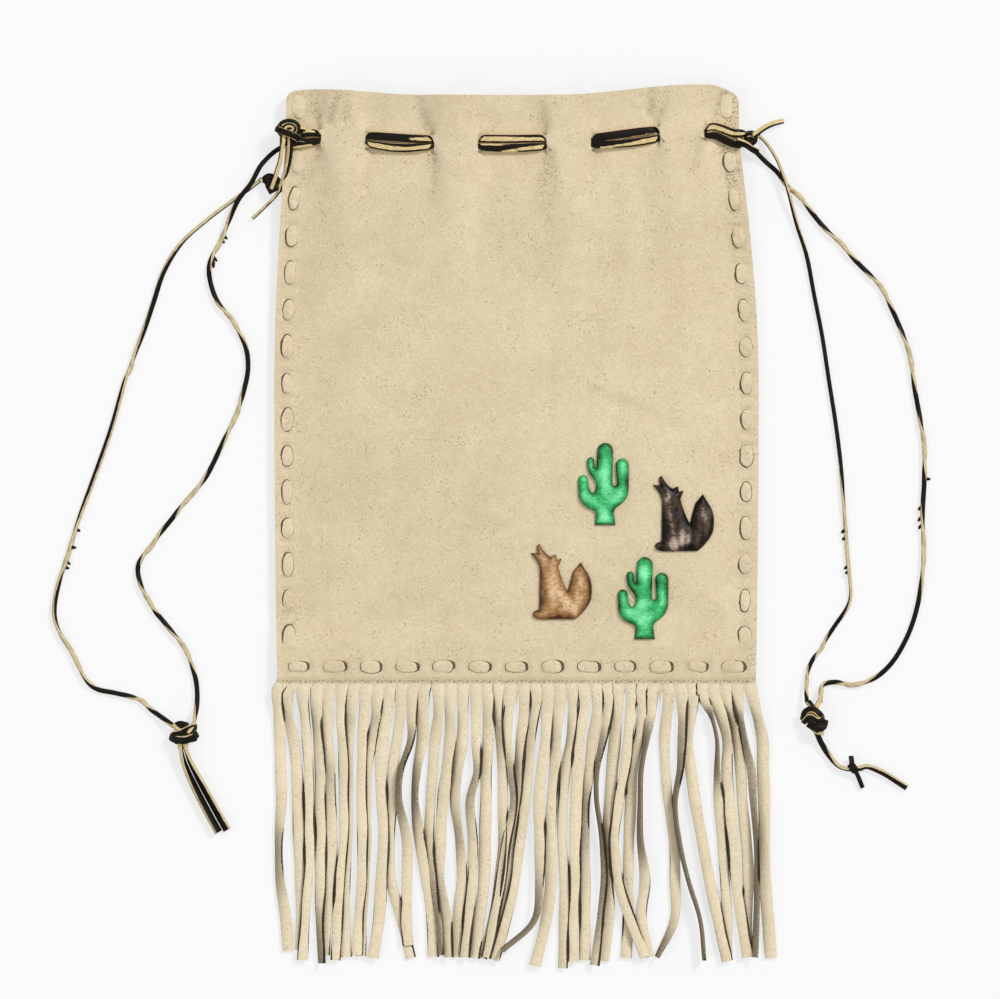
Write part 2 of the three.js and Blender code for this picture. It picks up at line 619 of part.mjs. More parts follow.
const RIGHT_OUTER_ROUTE = [
  [8.6, -6.2, 2.2], [13.75, -11.25, 0.2], [20.25, -17.25, 0], [25.25, -24.75, 0], [31.75, -30.75, 0],
  [44.75, -46.25, 0], [57.25, -59.25, 0], [67.75, -70.25, 0], [75.25, -81.75, 0], [81.75, -96.25, 0],
  [85.25, -108.75, 0], [88.75, -126.75, 0], [91.25, -141.75, 0], [93.25, -169.75, 0], [92.25, -187.75, 0],
  [91.75, -221.25, 0], [89.25, -236.25, 0], [84.25, -250.25, 0], [76.25, -263.25, 0], [67.75, -270.25, 0],
  [57.25, -272.75, 0], [47.25, -272.25, 0], [41.75, -273.75, 0.6], [40.25, -281.4, 3],
];
const RIGHT_INNER_ROUTE = [
  [4.2, 2.4, 0.4], [10.75, 0.75, 0.6], [15.75, -4.75, 2], [19.25, -10.75, 3.4], [22, -17.5, 3.6],
  [24.75, -25.75, 3.2], [29.25, -42.25, 0.7], [34.25, -57.75, 0.1], [38.25, -78.25, 0], [42.25, -98.75, 0],
  [45.75, -121.75, 0], [49.25, -144.25, 0], [51.75, -166.25, 0], [52.75, -187.75, 0], [53.75, -205.75, 0],
  [55.25, -218.75, 0], [56.25, -227.25, 0], [54.75, -234.25, 0], [48.25, -244.25, 0], [40.75, -255.25, 0],
  [35.75, -264.25, 0], [33.75, -270.75, 0.6], [34.6, -281.4, 3],
];
const RIGHT_END_TAIL_ROUTE = [
  [39.4, -297, 1.8], [41.25, -301, 1], [44.75, -307, 0.2], [49.75, -313.4, 0.2], [53.6, -315, 0.8],
];
const RIGHT_TAIL_TIP_ROUTE = [
  [60.8, -314.6, 0.3], [63.75, -313.75, 0.1], [71.25, -316.25, 0], [84.25, -324.25, 0],
];
const RIGHT_SHORT_END_ROUTE = [[9.6, 4, 5], [13.25, 6.4, 3.4], [18.75, 8.6, 1.2], [22.25, 8.8, 0.4]];

function laceSection(width) {
  const shape = new THREE.Shape();
  const [w, t] = [width / 2, LACE_THICKNESS / 2];
  const chamfer = LACE_THICKNESS / 4;
  const corners = [[w, t - chamfer], [w - chamfer, t], [chamfer - w, t], [-w, t - chamfer]];
  const outline = [...corners, ...corners.map(([a, b]) => [-a, -b])];
  shape.setFromPoints(outline.map(([a, b]) => new THREE.Vector2(b, a)));
  return shape;
}

function fromCorner(anchor, x, y, z) {
  const flare = (PANEL_WIDTH - MOUTH_WIDTH) / 2 - ROUTE_FLARE;
  const outward = Math.sign(anchor.x) * flare * clamp01(-y / ROUTE_FLARE_LENGTH);
  return new THREE.Vector3(anchor.x + x + outward, anchor.y + y, z);
}

function laceGeometry(route, anchor, width, steps) {
  const rest = LACE_THICKNESS / 2 + CLEARANCE;
  const points = route.map(([x, y, lift]) => fromCorner(anchor, x, y, rest + lift));
  const extrudePath = new THREE.CatmullRomCurve3(points, false, "centripetal");
  return new THREE.ExtrudeGeometry(laceSection(width), { steps, bevelEnabled: false, extrudePath });
}

// A knot is a short barrel of windings, wound about the line of the lace
function knotGeometry([length, diameter], anchor, [x, y], z, angle) {
  const radius = diameter / 2;
  const share = [0, 0.6, 1, 0.84, 1, 0.6, 0];
  const place = [0, 0, 0.25, 0.5, 0.75, 1, 1];
  const profile = share.map((s, i) => new THREE.Vector2(s * radius, (place[i] - 0.5) * length));
  const knot = new THREE.LatheGeometry(profile, 8);
  knot.rotateZ(angle);
  knot.scale(1, 1, KNOT_FLATNESS);
  knot.translate(...fromCorner(anchor, x, y, z).toArray());
  return knot;
}

// Finishes
const suede = { color: 0xddcdac, roughness: 0.95, metalness: 0 };
const thong = { color: 0xe3d6b8, roughness: 0.95, metalness: 0 };
const satinGreen = { color: 0x38a960, roughness: 0.4, metalness: 0 };
const satinBrown = { color: 0x5a4c42, roughness: 0.4, metalness: 0 };
const satinGold = { color: 0xb88a52, roughness: 0.4, metalness: 0 };
const laceLeather = { color: 0x2a241b, roughness: 0.6, metalness: 0 };

const bag = new THREE.Group();

function place(name, geometry, finish) {
  const mesh = new THREE.Mesh(geometry, new THREE.MeshStandardMaterial(finish));
  mesh.name = name;
  bag.add(mesh);
}

const cuts = punches().add(slits());
place("front_panel", solidGeometry(panelSolid(frontUnderside).subtract(cuts)), suede);
place("back_panel", solidGeometry(panelSolid(backUnderside).subtract(cuts)), suede);
place("fringe_strip", solidGeometry(fringeSolid()), suede);
place("edge_lacing", solidGeometry(lacingSolid()), thong);
place("upper_cactus_applique", motifGeometry(cactusShape(), UPPER_CACTUS_PLACE), satinGreen);
place("lower_cactus_applique", motifGeometry(cactusShape(), LOWER_CACTUS_PLACE), satinGreen);
place("dark_coyote_applique", motifGeometry(coyoteShape(), DARK_COYOTE_PLACE), satinBrown);
place("gold_coyote_applique", motifGeometry(coyoteShape(), GOLD_COYOTE_PLACE), satinGold);

const leftKnotEnd = leftAnchor.x + LEFT_HITCH_PLACE[0] + LEFT_HITCH_KNOT[0] / 2 + CLEARANCE;
const rightKnotEnd = rightAnchor.x + RIGHT_HITCH_PLACE[0] - RIGHT_HITCH_KNOT[0] / 2 - CLEARANCE;
place("left_drawstring", solidGeometry(drawstringSolid(-1, leftKnotEnd)), laceLeather);
place("right_drawstring", solidGeometry(drawstringSolid(1, rightKnotEnd)), laceLeather);

const acrossX = Math.PI / 2;
const knotRest = ([, diameter]) => (diameter / 2) * KNOT_FLATNESS + CLEARANCE;
const hitchHeight = edgeTop + knotRest(LEFT_HITCH_KNOT);
const knots = [
  ["left_hitch_knot", LEFT_HITCH_KNOT, leftAnchor, LEFT_HITCH_PLACE, hitchHeight, acrossX],
  ["left_lower_knot", LEFT_LOWER_KNOT, leftAnchor, LEFT_LOWER_PLACE, knotRest(LEFT_LOWER_KNOT), 0],
  ["left_end_knot", LEFT_END_KNOT, leftAnchor, LEFT_END_PLACE, knotRest(LEFT_END_KNOT), acrossX],
  ["right_hitch_knot", RIGHT_HITCH_KNOT, rightAnchor, RIGHT_HITCH_PLACE, laceAbove - LACE_THICKNESS, acrossX],
  ["right_end_knot", RIGHT_END_KNOT, rightAnchor, RIGHT_END_PLACE, knotRest(RIGHT_END_KNOT), 0.3],
  ["right_tail_knot", RIGHT_TAIL_KNOT, rightAnchor, RIGHT_TAIL_PLACE, knotRest(RIGHT_TAIL_KNOT), acrossX],
];
for (const [name, size, anchor, spot, height, angle] of knots) {
  place(name, knotGeometry(size, anchor, spot, height, angle), laceLeather);
}

const laces = [
  ["left_outer_strand", LEFT_OUTER_ROUTE, leftAnchor, FREE_LACE_WIDTH, 18],
  ["left_inner_strand", LEFT_INNER_ROUTE, leftAnchor, FREE_LACE_WIDTH, 19],
  ["left_outer_tail", LEFT_OUTER_TAIL_ROUTE, leftAnchor, LACE_WIDTH, 2],
  ["left_inner_tail", LEFT_INNER_TAIL_ROUTE, leftAnchor, LACE_WIDTH, 2],
  ["left_short_end", LEFT_SHORT_END_ROUTE, leftAnchor, FREE_LACE_WIDTH, 2],
  ["left_drop_outer", LEFT_DROP_OUTER_ROUTE, leftAnchor, FREE_LACE_WIDTH, 3],
  ["left_drop_inner", LEFT_DROP_INNER_ROUTE, leftAnchor, FREE_LACE_WIDTH, 5],
  ["right_outer_strand", RIGHT_OUTER_ROUTE, rightAnchor, FREE_LACE_WIDTH, 18],
  ["right_inner_strand", RIGHT_INNER_ROUTE, rightAnchor, FREE_LACE_WIDTH, 16],
  ["right_end_tail", RIGHT_END_TAIL_ROUTE, rightAnchor, FREE_LACE_WIDTH, 3],
  ["right_tail_tip", RIGHT_TAIL_TIP_ROUTE, rightAnchor, FREE_LACE_WIDTH, 2],
  ["right_short_end", RIGHT_SHORT_END_ROUTE, rightAnchor, FREE_LACE_WIDTH, 2],
];
for (const [name, route, anchor, width, steps] of laces) {
  place(name, laceGeometry(route, anchor, width, steps), laceLeather);
}

export default bag;
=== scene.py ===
import math

import bpy
import numpy as np
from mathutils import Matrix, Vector, geometry


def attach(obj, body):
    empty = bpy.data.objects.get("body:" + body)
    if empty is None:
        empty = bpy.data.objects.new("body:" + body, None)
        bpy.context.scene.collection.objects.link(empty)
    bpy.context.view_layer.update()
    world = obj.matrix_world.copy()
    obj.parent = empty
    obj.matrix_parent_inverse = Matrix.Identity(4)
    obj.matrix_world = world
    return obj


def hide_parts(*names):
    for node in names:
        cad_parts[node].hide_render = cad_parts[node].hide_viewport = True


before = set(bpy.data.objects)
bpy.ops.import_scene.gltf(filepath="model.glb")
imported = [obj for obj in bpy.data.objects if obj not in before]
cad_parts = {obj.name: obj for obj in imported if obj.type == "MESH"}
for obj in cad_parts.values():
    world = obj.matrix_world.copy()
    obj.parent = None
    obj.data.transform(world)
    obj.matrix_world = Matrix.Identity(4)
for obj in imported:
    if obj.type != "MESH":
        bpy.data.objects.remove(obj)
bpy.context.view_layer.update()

UP = np.array([0.0, 0.0, 1.0])

# Sizes in millimetres; those that the solids have too are the same there
MM = 0.001
PANEL_WIDTH, MOUTH_WIDTH, BOTTOM_WIDTH, PANEL_LENGTH = 242.0, 226.0, 239.0, 293.6
SUEDE, GAP = 1.4, 0.3
LACE_WIDTH, LACE_THICK = 4.2, 2.2
FREE_LACE_WIDTH, FREE_LACE_THICK = 2.8, 1.9
THONG_WIDTH, THONG_THICK = 6.5, 1.2
STITCH_LENGTH, STITCH_PITCH = 12.0, 18.2
TOP, BOTTOM = PANEL_LENGTH / 2, -PANEL_LENGTH / 2
COLLAR = 22.6
LACE_LINE = TOP - COLLAR
WINDOW_LINE = LACE_LINE - 1.4
BAND_TOP = BOTTOM + 14.0
BAND_FADE = 20.0
MOUTH_SHIFT = -2.0
SIDE_BAND = 11.0
TAPER_LENGTH = 125.0
FRONT_GATHERS, BACK_GATHERS = 85.0, 42.5
SWELL, MOUTH_SWELL, SWELL_LENGTH = 8.0, 6.0, 120.0
STITCH_INSET, TOP_STITCH_DROP, CORNER_CLEAR = 6.2, 8.2, 15.0
FRINGE_SPAN = 116.5
BOTTOM_ROW = BOTTOM + 8.25
SHARP_EDGE = math.radians(55)
SLIT_HEIGHT = 2 * LACE_WIDTH + 4 * GAP
SLIT_HALF = 4.3
LACE_OFFSET = LACE_WIDTH / 2 + GAP
SEAM_LIFT = THONG_THICK + GAP
MOUTH_SEAM_LIFT = THONG_THICK + LACE_THICK + 3 * GAP
WEAVE = SUEDE + LACE_THICK + 2 * GAP
LAYER = SUEDE + GAP
LACE_DIVE = 1.7
WINDOW_PITCH, WINDOW_HALF = 56.4, 17.0
SLITS = [k * WINDOW_PITCH + side * WINDOW_HALF for k in (-2, -1, 0, 1, 2) for side in (-1, 1)][1:-1]
TUCKS = [(SLITS[i], SLITS[i + 1]) for i in (0, 2, 4, 6)]
# The climb of the mouth's edge towards its left and right corners, and its droop at them
LEFT_CLIMB, RIGHT_CLIMB = 2.9, 5.3
LEFT_DROOP, RIGHT_DROOP = 0.65, 4.05
# The seams begin to rise SEAM_CLIMB below the mouth's reach
MOUTH_REACH, SEAM_CLIMB = 20.0, 50.0
# Width of the step at a slit, and of the softer step away from it with its growth and its most
SHARP_STEP = 0.002
SOFT_STEP, SOFT_GROWTH, SOFT_MOST = 3.5, 1.1, 24.0


# Surfaces of the lying bag
def smooth(t):
    t = np.clip(t, 0.0, 1.0)
    return t * t * (3 - 2 * t)


def mix(a, b, t):
    return a + (b - a) * t


def widening(y):
    return np.sin(np.pi / 2 * np.clip((LACE_LINE - y) / TAPER_LENGTH, 0, 1))


def half_width(y):
    taper = (PANEL_WIDTH - BOTTOM_WIDTH) / 2 * np.clip(-y / TOP, 0, 1) ** 2
    return mix(MOUTH_WIDTH, PANEL_WIDTH, widening(y)) / 2 - taper


def centre_x(y):
    return MOUTH_SHIFT * (1 - widening(y))


def corner_inset(distance, radius):
    left = np.maximum(0.0, radius - distance)
    return radius - np.sqrt(np.maximum(0.0, radius * radius - left * left))


def mouth_rise(x, y):
    """How far the uneven edge of the mouth lifts the suede in plan; it dies out down the panel."""
    u = (x - MOUTH_SHIFT) / (MOUTH_WIDTH / 2)
    climb = LEFT_CLIMB * smooth((-u - 0.4) / 0.45) + RIGHT_CLIMB * smooth((u - 0.2) / 0.62)
    droop = np.where(u < 0, LEFT_DROOP, RIGHT_DROOP) * smooth((np.abs(u) - 0.87) / 0.13)
    fade = smooth(1 - (LACE_LINE - SLIT_HEIGHT - y) / TAPER_LENGTH)
    return (climb - droop) * fade


def crown(u):
    return 1 - np.clip(np.abs(u), 0, 1) ** 2.6


def seam_height(y):
    return mix(SEAM_LIFT, MOUTH_SEAM_LIFT, smooth(1 - (LACE_LINE - MOUTH_REACH - y) / SEAM_CLIMB))


def front_seam(y):
    return seam_height(y) + LAYER + LAYER * smooth(1 - (y - BAND_TOP) / BAND_FADE)


def across(x, y):
    return (x - centre_x(y)) / (half_width(y) - SIDE_BAND)


def tuck(x, y):
    """1 where the suede lies over the laces, 0 in a window; a sharp step at a slit, soft away from it."""
    away = np.maximum(0.0, np.abs(y - WINDOW_LINE) - SLIT_HALF)
    soft = np.where(away <= 0, SHARP_STEP, np.minimum(SOFT_STEP + SOFT_GROWTH * away, SOFT_MOST))
    total = 0.0
    for low, high in TUCKS:
        rising = smooth((x - MOUTH_SHIFT - low) / soft + 0.5)
        falling = smooth((high + MOUTH_SHIFT - x) / soft + 0.5)
        total = total + rising * falling
    return total


def ripple_fade(y, length):
    """How much the gathers show: all at the laces, a little less at the top, none from a length below."""
    above = mix(1.0, 0.8, np.clip((y - LACE_LINE - SLIT_HEIGHT) / COLLAR, 0, 1))
    below = (1 - np.clip((LACE_LINE - SLIT_HEIGHT - y) / length, 0, 1)) ** 1.8
    return np.minimum(above, below)


def front_plain(x, y, tucked):
    rise = 1 - (1 - np.clip((y - BAND_TOP) / SWELL_LENGTH, 0, 1)) ** 2
    plain = front_seam(y) + SWELL * crown(across(x, y)) * rise
    gathered = front_seam(y) + MOUTH_SWELL * crown(across(x, y)) + (WEAVE - LACE_DIVE) * tucked
    return mix(plain, gathered, ripple_fade(y, FRONT_GATHERS))


# Pinched creases: start, end, depth and half width
CREASES = [
    (-94, 131, -88, 148, 1.5, 1.3), (-99, 130, -101, 146, 1.0, 1.6), (-86, 132, -84, 147, 0.8, 2.0),
    (-46, 131, -49, 146, 0.9, 2.2), (-41, 119, -42, 92, 0.7, 2.6), (14, 131, 12, 147, 0.7, 2.4),
    (66, 134, 67, 149, 1.1, 1.8), (72, 134, 77, 150, 0.8, 2.0), (99, 131, 104, 146, 1.4, 1.6),
    (93, 121, 88, 104, 0.8, 2.4), (-99, 119, -104, 100, 0.9, 1.8), (101, 120, 106, 104, 1.0, 1.8),
    (17, 118, 18, 96, 0.6, 2.6), (40, 120, 38, 98, 0.6, 2.6), (-72, 119, -75, 100, 0.6, 2.4),
    (37, 0, 79, -17, 0.55, 3.0), (16, 92, 20, 44, 0.3, 4.0), (50, 98, 52, 62, 0.35, 3.6),
    (103, 122, 107, 100, 1.3, 1.5),
]


def creases(x, y):
    total = 0.0
    for x0, y0, x1, y1, depth, width in CREASES:
        dx, dy = x1 - x0, y1 - y0
        t = np.clip(((x - x0) * dx + (y - y0) * dy) / (dx * dx + dy * dy), 0, 1)
        gap = np.hypot(x - x0 - t * dx, y - y0 - t * dy)
        total = total + depth * np.exp(-((gap / width) ** 2)) * (1 - 0.6 * t)
    return total


def undulation(x, y):
    """The slow unevenness of soft suede lying flat, and the small folds that run out from the gathers."""
    broad = 0.34 * np.sin(x / 23.0 + 0.9) * np.sin(y / 31.0 + x / 90.0)
    broad = broad + 0.22 * np.sin(x / 11.0 - y / 17.0 + 1.3)
    folds = 0.8 * np.sin(x / 8.2 + 0.4 * np.sin(y / 26.0)) + 0.45 * np.sin(x / 4.3 + 1.1 + y / 60.0)
    off_lace = 1 - 0.85 * np.exp(-(((y - LACE_LINE) / 7.0) ** 2))
    folds = folds * np.exp(-np.abs(LACE_LINE - y) / 48.0) * off_lace
    in_corner = np.exp(-(((x - 92) / 22.0) ** 2) - ((y + 108) / 20.0) ** 2)
    return broad + folds + 0.35 * np.sin((x + 0.8 * y) / 6.5) * in_corner


def stitch_list():
    """Centre and direction of each stitch: down the left, along the bottom, up the right."""
    hole = THONG_THICK + 2 * GAP
    first = LACE_LINE - SLIT_HEIGHT / 2 - GAP - hole - STITCH_LENGTH / 2
    last = BOTTOM_ROW + CORNER_CLEAR
    steps = round((first - last) / STITCH_PITCH)
    heights = [TOP - TOP_STITCH_DROP] + [mix(first, last, k / steps) for k in range(steps + 1)]

    def side_x(y, sign):
        return float(centre_x(y) + sign * (half_width(y) - STITCH_INSET))

    def side(y, sign, up):
        ahead = Vector((side_x(y + up, sign) - side_x(y, sign), up, 0)).normalized()
        x = side_x(y, sign)
        return (x, float(y + mouth_rise(x, y)), ahead)

    reach = float(half_width(BOTTOM_ROW)) - SIDE_BAND
    count = round(2 * reach / STITCH_PITCH)
    bottom_row = [(mix(-reach, reach, k / count), BOTTOM_ROW, Vector((1, 0, 0))) for k in range(count + 1)]
    left = [side(y, -1, -1) for y in heights]
    right = [side(y, 1, 1) for y in reversed(heights)]
    return left, bottom_row, right


STITCHES = stitch_list()
STITCH_HOLES = np.array([
    (x + sign * ahead.x * STITCH_LENGTH / 2, y + sign * ahead.y * STITCH_LENGTH / 2, ahead.x, ahead.y)
    for group in STITCHES for x, y, ahead in group for sign in (-1, 1)])
HOLE_REACH, HOLE_HALF_LONG, HOLE_HALF_WIDE = 7.0, 1.1, 3.5


def hole_mask(x, y):
    """Near 1 inside a punched hole; x and y are places in plan."""
    mask = np.zeros_like(x)
    for hx, hy, ax, ay in STITCH_HOLES:
        near = (np.abs(x - hx) < HOLE_REACH) & (np.abs(y - hy) < HOLE_REACH)
        if not near.any():
            continue
        along = (x[near] - hx) * ax + (y[near] - hy) * ay
        side = -(x[near] - hx) * ay + (y[near] - hy) * ax
        punched = np.exp(-((along / HOLE_HALF_LONG) ** 4)) * np.exp(-((side / HOLE_HALF_WIDE) ** 6))
        mask[near] = np.maximum(mask[near], punched)
    return mask


def front_underside(x, y):
    middle = smooth((1 - np.abs(across(x, y))) / 0.12) * smooth((y - BAND_TOP - 4) / 25.0)
    return front_plain(x, y, tuck(x, y)) + (undulation(x, y) - creases(x, y)) * middle


def front_top(x, y):
    return front_underside(x, y) + SUEDE


def back_underside(x, y):
    u = np.abs(across(x, y))
    to_sides = smooth((u - 0.7) / 0.3)
    to_bottom = smooth(1 - (y - BAND_TOP) / BAND_FADE)
    plain = seam_height(y) * np.maximum(to_sides, to_bottom)
    gathered = (1 - tuck(x, y)) * mix(WEAVE, MOUTH_SEAM_LIFT, np.clip((u - 0.9) * 10, 0, 1))
    return mix(plain, gathered, ripple_fade(y, BACK_GATHERS))


# Mesh making: parts of a curve between two given points, and the texture scale of a strip
CURVE_PARTS = 24
UV_SCALE = 0.01


def linked(made):
    """Puts a new object into the scene."""
    bpy.context.scene.collection.objects.link(made)
    return made


def set_values(mesh, label, values, kind="FLOAT"):
    """Gives each point of a mesh a number or a vector of its own."""
    layer = mesh.attributes.new(label, kind, "POINT")
    layer.data.foreach_set("value" if kind == "FLOAT" else "vector", np.asarray(values, np.float32).ravel())


def add_object(name, vertices, faces, uv=None, attributes=None):
    """A mesh object from millimetre vertices; uv is one pair for each face corner."""
    mesh = bpy.data.meshes.new(name)
    mesh.from_pydata((np.asarray(vertices, float) * MM).tolist(), [], [list(map(int, f)) for f in faces])
    mesh.update()
    if uv is not None:
        layer = mesh.uv_layers.new(name="strip")
        layer.data.foreach_set("uv", np.asarray(uv, np.float32).ravel())
    for label, values in (attributes or {}).items():
        set_values(mesh, label, values)
    mesh.shade_smooth()
    return linked(bpy.data.objects.new(name, mesh))


def finish_piece(piece, material, slot, *nodes):
    if material is not None:
        piece.data.materials.clear()
        piece.data.materials.append(material)
    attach(piece, "root")
    if nodes:
        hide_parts(*nodes)
    return piece


def plain_mesh(source, name):
    """Turns the result of an object's modifiers into a plain mesh object and removes the source."""
    graph = bpy.context.evaluated_depsgraph_get()
    mesh = bpy.data.meshes.new_from_object(source.evaluated_get(graph))
    mesh.name = name
    bpy.data.objects.remove(source, do_unlink=True)
    mesh.shade_smooth()
    return linked(bpy.data.objects.new(name, mesh))


def grid_faces(rows, columns):
    return [(i * columns + j, (i + 1) * columns + j, (i + 1) * columns + j + 1, i * columns + j + 1)
            for i in range(rows - 1) for j in range(columns - 1)]


def closed_shell(sheet, count):
    """Faces of a sheet, of its underside count vertices further on, and of the rim that joins them."""
    sides = {(face[k - 1], face[k]) for face in sheet for k in range(len(face))}
    rim = sorted(side for side in sides if side[::-1] not in sides)
    under = [tuple(i + count for i in reversed(face)) for face in sheet]
    return sheet + under + [(b, a, a + count, b + count) for a, b in rim]


def unit(vectors):
    return vectors / np.linalg.norm(vectors, axis=1)[:, None]


def tangents(path):
    return unit(np.gradient(path, axis=0))


def running_length(path):
    return np.concatenate([[0], np.cumsum(np.linalg.norm(np.diff(path, axis=0), axis=1))])


def smoothed(values, reach):
    """Moving average over reach values to either side."""
    count = 2 * reach + 1
    return np.convolve(np.pad(values, reach, mode="edge"), np.ones(count) / count, "valid")


def curve_through(points, step):
    """Points about step apart on a smooth curve through the given ones."""
    p = np.asarray(points, float)
    p = np.vstack([2 * p[0] - p[1], p, 2 * p[-1] - p[-2]])
    knots = np.concatenate([[0], np.cumsum(np.sqrt(np.linalg.norm(np.diff(p, axis=0), axis=1)))])

    def blend(a, b, low, high):
        return (high - t) / (high - low) * a + (t - low) / (high - low) * b

    dense = []
    for i in range(1, len(p) - 2):
        t0, t1, t2, t3 = knots[i - 1:i + 3]
        t = np.linspace(t1, t2, CURVE_PARTS, endpoint=False)[:, None]
        a1 = blend(p[i - 1], p[i], t0, t1)
        a2 = blend(p[i], p[i + 1], t1, t2)
        a3 = blend(p[i + 1], p[i + 2], t2, t3)
        dense.append(blend(blend(a1, a2, t0, t2), blend(a2, a3, t1, t3), t1, t2))
    dense = np.vstack(dense + [p[-2][None]])
    length = running_length(dense)
    count = max(3, int(round(length[-1] / step)) + 1)
    marks = np.linspace(0, length[-1], count)
    return np.stack([np.interp(marks, length, dense[:, k]) for k in range(3)], axis=1)


def strip_section(width, thick, bevel):
    """Outline of a flat strip: (across, through, edge); edge is 1 on the narrow sides and underneath."""
    w, t, b, k = width / 2, thick / 2, bevel, 0.3 * bevel
    right = [(w, b - t, 1.0), (w, t - b, 1.0), (w - k, t - k, 0.5), (w - b, t, 0.0)]
    top = [(0.5 * (w - b), t + 0.12, 0.0), (0.0, t + 0.18, 0.0), (-0.5 * (w - b), t + 0.12, 0.0)]
    left = [(b - w, t, 0.0), (k - w, t - k, 0.5), (-w, t - b, 1.0), (-w, b - t, 1.0)]
    under = [(k - w, k - t, 1.0), (b - w, -t, 1.0), (0.0, -t, 1.0), (w - b, -t, 1.0), (w - k, k - t, 1.0)]
    return np.array(right + top + left + under)


def strip_parts(path, normals, width, thick, bevel=0.4, widths=None, bare=None):
    """Vertices, faces, corner uv and edge values of a strip along a path, with its face to the normals."""
    ahead = tangents(path)
    normals = unit(normals - (normals * ahead).sum(1)[:, None] * ahead)
    sides = np.cross(normals, ahead)
    section = strip_section(width, thick, bevel)
    scale = np.ones(len(path)) if widths is None else np.asarray(widths, float)
    shown = np.ones(len(path)) if bare is None else np.asarray(bare, float)
    rings = (path[:, None] + section[None, :, :1] * sides[:, None] * scale[:, None, None]
             + section[None, :, 1:2] * normals[:, None])
    count = len(section)
    edge = (shown[:, None] * section[None, :, 2]).ravel()
    around = running_length(np.vstack([section, section[:1]])[:, :2])
    along = running_length(path)
    faces, uv = [], []
    for r in range(len(path) - 1):
        for s in range(count):
            n = (s + 1) % count
            faces.append((r * count + s, (r + 1) * count + s, (r + 1) * count + n, r * count + n))
            uv += [(around[s], along[r]), (around[s], along[r + 1]),
                   (around[s + 1], along[r + 1]), (around[s + 1], along[r])]
    last = (len(path) - 1) * count
    faces.append(tuple(range(count)))
    uv += [(around[s], along[0]) for s in range(count)]
    faces.append(tuple(last + s for s in reversed(range(count))))
    uv += [(around[s], along[-1]) for s in reversed(range(count))]
    return rings.reshape(-1, 3), faces, np.array(uv) * UV_SCALE, edge


def joined(parts):
    """Several strips as one set of vertices, faces, uv and edge values."""
    vertices, faces, uv, edge, start = [], [], [], [], 0
    for v, f, corner_uv, e in parts:
        vertices.append(v)
        faces += [tuple(i + start for i in face) for face in f]
        uv.append(corner_uv)
        edge.append(e)
        start += len(v)
    return np.vstack(vertices), faces, np.vstack(uv), np.concatenate(edge)


def rolled(path, roll):
    """Normals of a lying strip that is rolled about its own line by the given angles, in radians."""
    ahead = tangents(path)
    side = unit(np.cross(ahead, UP))
    flat = np.cross(side, ahead)
    roll = np.broadcast_to(roll, (len(path),))[:, None]
    return flat * np.cos(roll) + side * np.sin(roll)


# Camera
camera_data = bpy.data.cameras.new("camera")
camera_data.sensor_width = 36.0
camera_data.lens = 360.0
camera_data.clip_end = 20.0
camera = linked(bpy.data.objects.new("camera", camera_data))
camera.location = (-0.00825, -0.05505, 5.0)
bpy.context.scene.camera = camera


# Materials
def node_material(name):
    material = bpy.data.materials.new(name)
    material.use_nodes = True
    tree = material.node_tree
    shader = tree.nodes["Principled BSDF"]
    return material, tree, shader


def feed(tree, place, value):
    """Links what varies to a socket, and sets a plain number or colour on it."""
    if isinstance(value, bpy.types.NodeSocket):
        tree.links.new(value, place)
    elif isinstance(value, tuple) and place.type == "RGBA":
        place.default_value = (*value, 1.0)[:4]
    else:
        place.default_value = value


def node(tree, kind, **values):
    """A new node with its settings, and its sockets fed by their names."""
    made = tree.nodes.new(kind)
    for key, value in values.items():
        if hasattr(made, key):
            setattr(made, key, value)
        else:
            feed(tree, made.inputs[key.replace("_", " ")], value)
    return made


def grey(value):
    return (value, value, value)


def ramp(tree, source, stops):
    made = node(tree, "ShaderNodeValToRGB", Fac=source)
    while len(made.color_ramp.elements) < len(stops):
        made.color_ramp.elements.new(0.5)
    for element, (place, colour) in zip(made.color_ramp.elements, stops):
        element.position = place
        element.color = (*colour, 1.0)
    return made.outputs["Color"]


def step_ramp(tree, source, low, high):
    return ramp(tree, source, [(low, grey(0.0)), (high, grey(1.0))])


def maths(tree, operation, a, b):
    made = node(tree, "ShaderNodeMath", operation=operation)
    feed(tree, made.inputs[0], a)
    feed(tree, made.inputs[1], b)
    return made.outputs["Value"]


def shares(tree, a, a_share, b, b_share):
    """Two values added, each times its share."""
    return maths(tree, "ADD", maths(tree, "MULTIPLY", a, a_share), maths(tree, "MULTIPLY", b, b_share))


def about_half(tree, source, gain):
    """A noise value moved to swing about zero, times gain."""
    return maths(tree, "MULTIPLY", maths(tree, "SUBTRACT", source, 0.5), gain)


def mixed(tree, factor, a, b, blend="MIX"):
    made = node(tree, "ShaderNodeMix", data_type="RGBA", blend_type=blend)
    for socket in made.inputs:
        value = {"Factor_Float": factor, "A_Color": a, "B_Color": b}.get(socket.identifier)
        if value is not None:
            feed(tree, socket, value)
    return next(s for s in made.outputs if s.identifier == "Result_Color")


def object_place(tree):
    return node(tree, "ShaderNodeTexCoord").outputs["Object"]


def noise(tree, place, scale, detail, roughness=0.5):
    made = node(tree, "ShaderNodeTexNoise", Vector=place, Scale=scale, Detail=detail, Roughness=roughness)
    return made.outputs["Fac"]


def stretched(tree, place, turn, scale):
    """A place turned about Z and scaled, for a pattern that runs one way."""
    made = node(tree, "ShaderNodeMapping", Vector=place, Rotation=(0.0, 0.0, turn), Scale=scale)
    return made.outputs["Vector"]


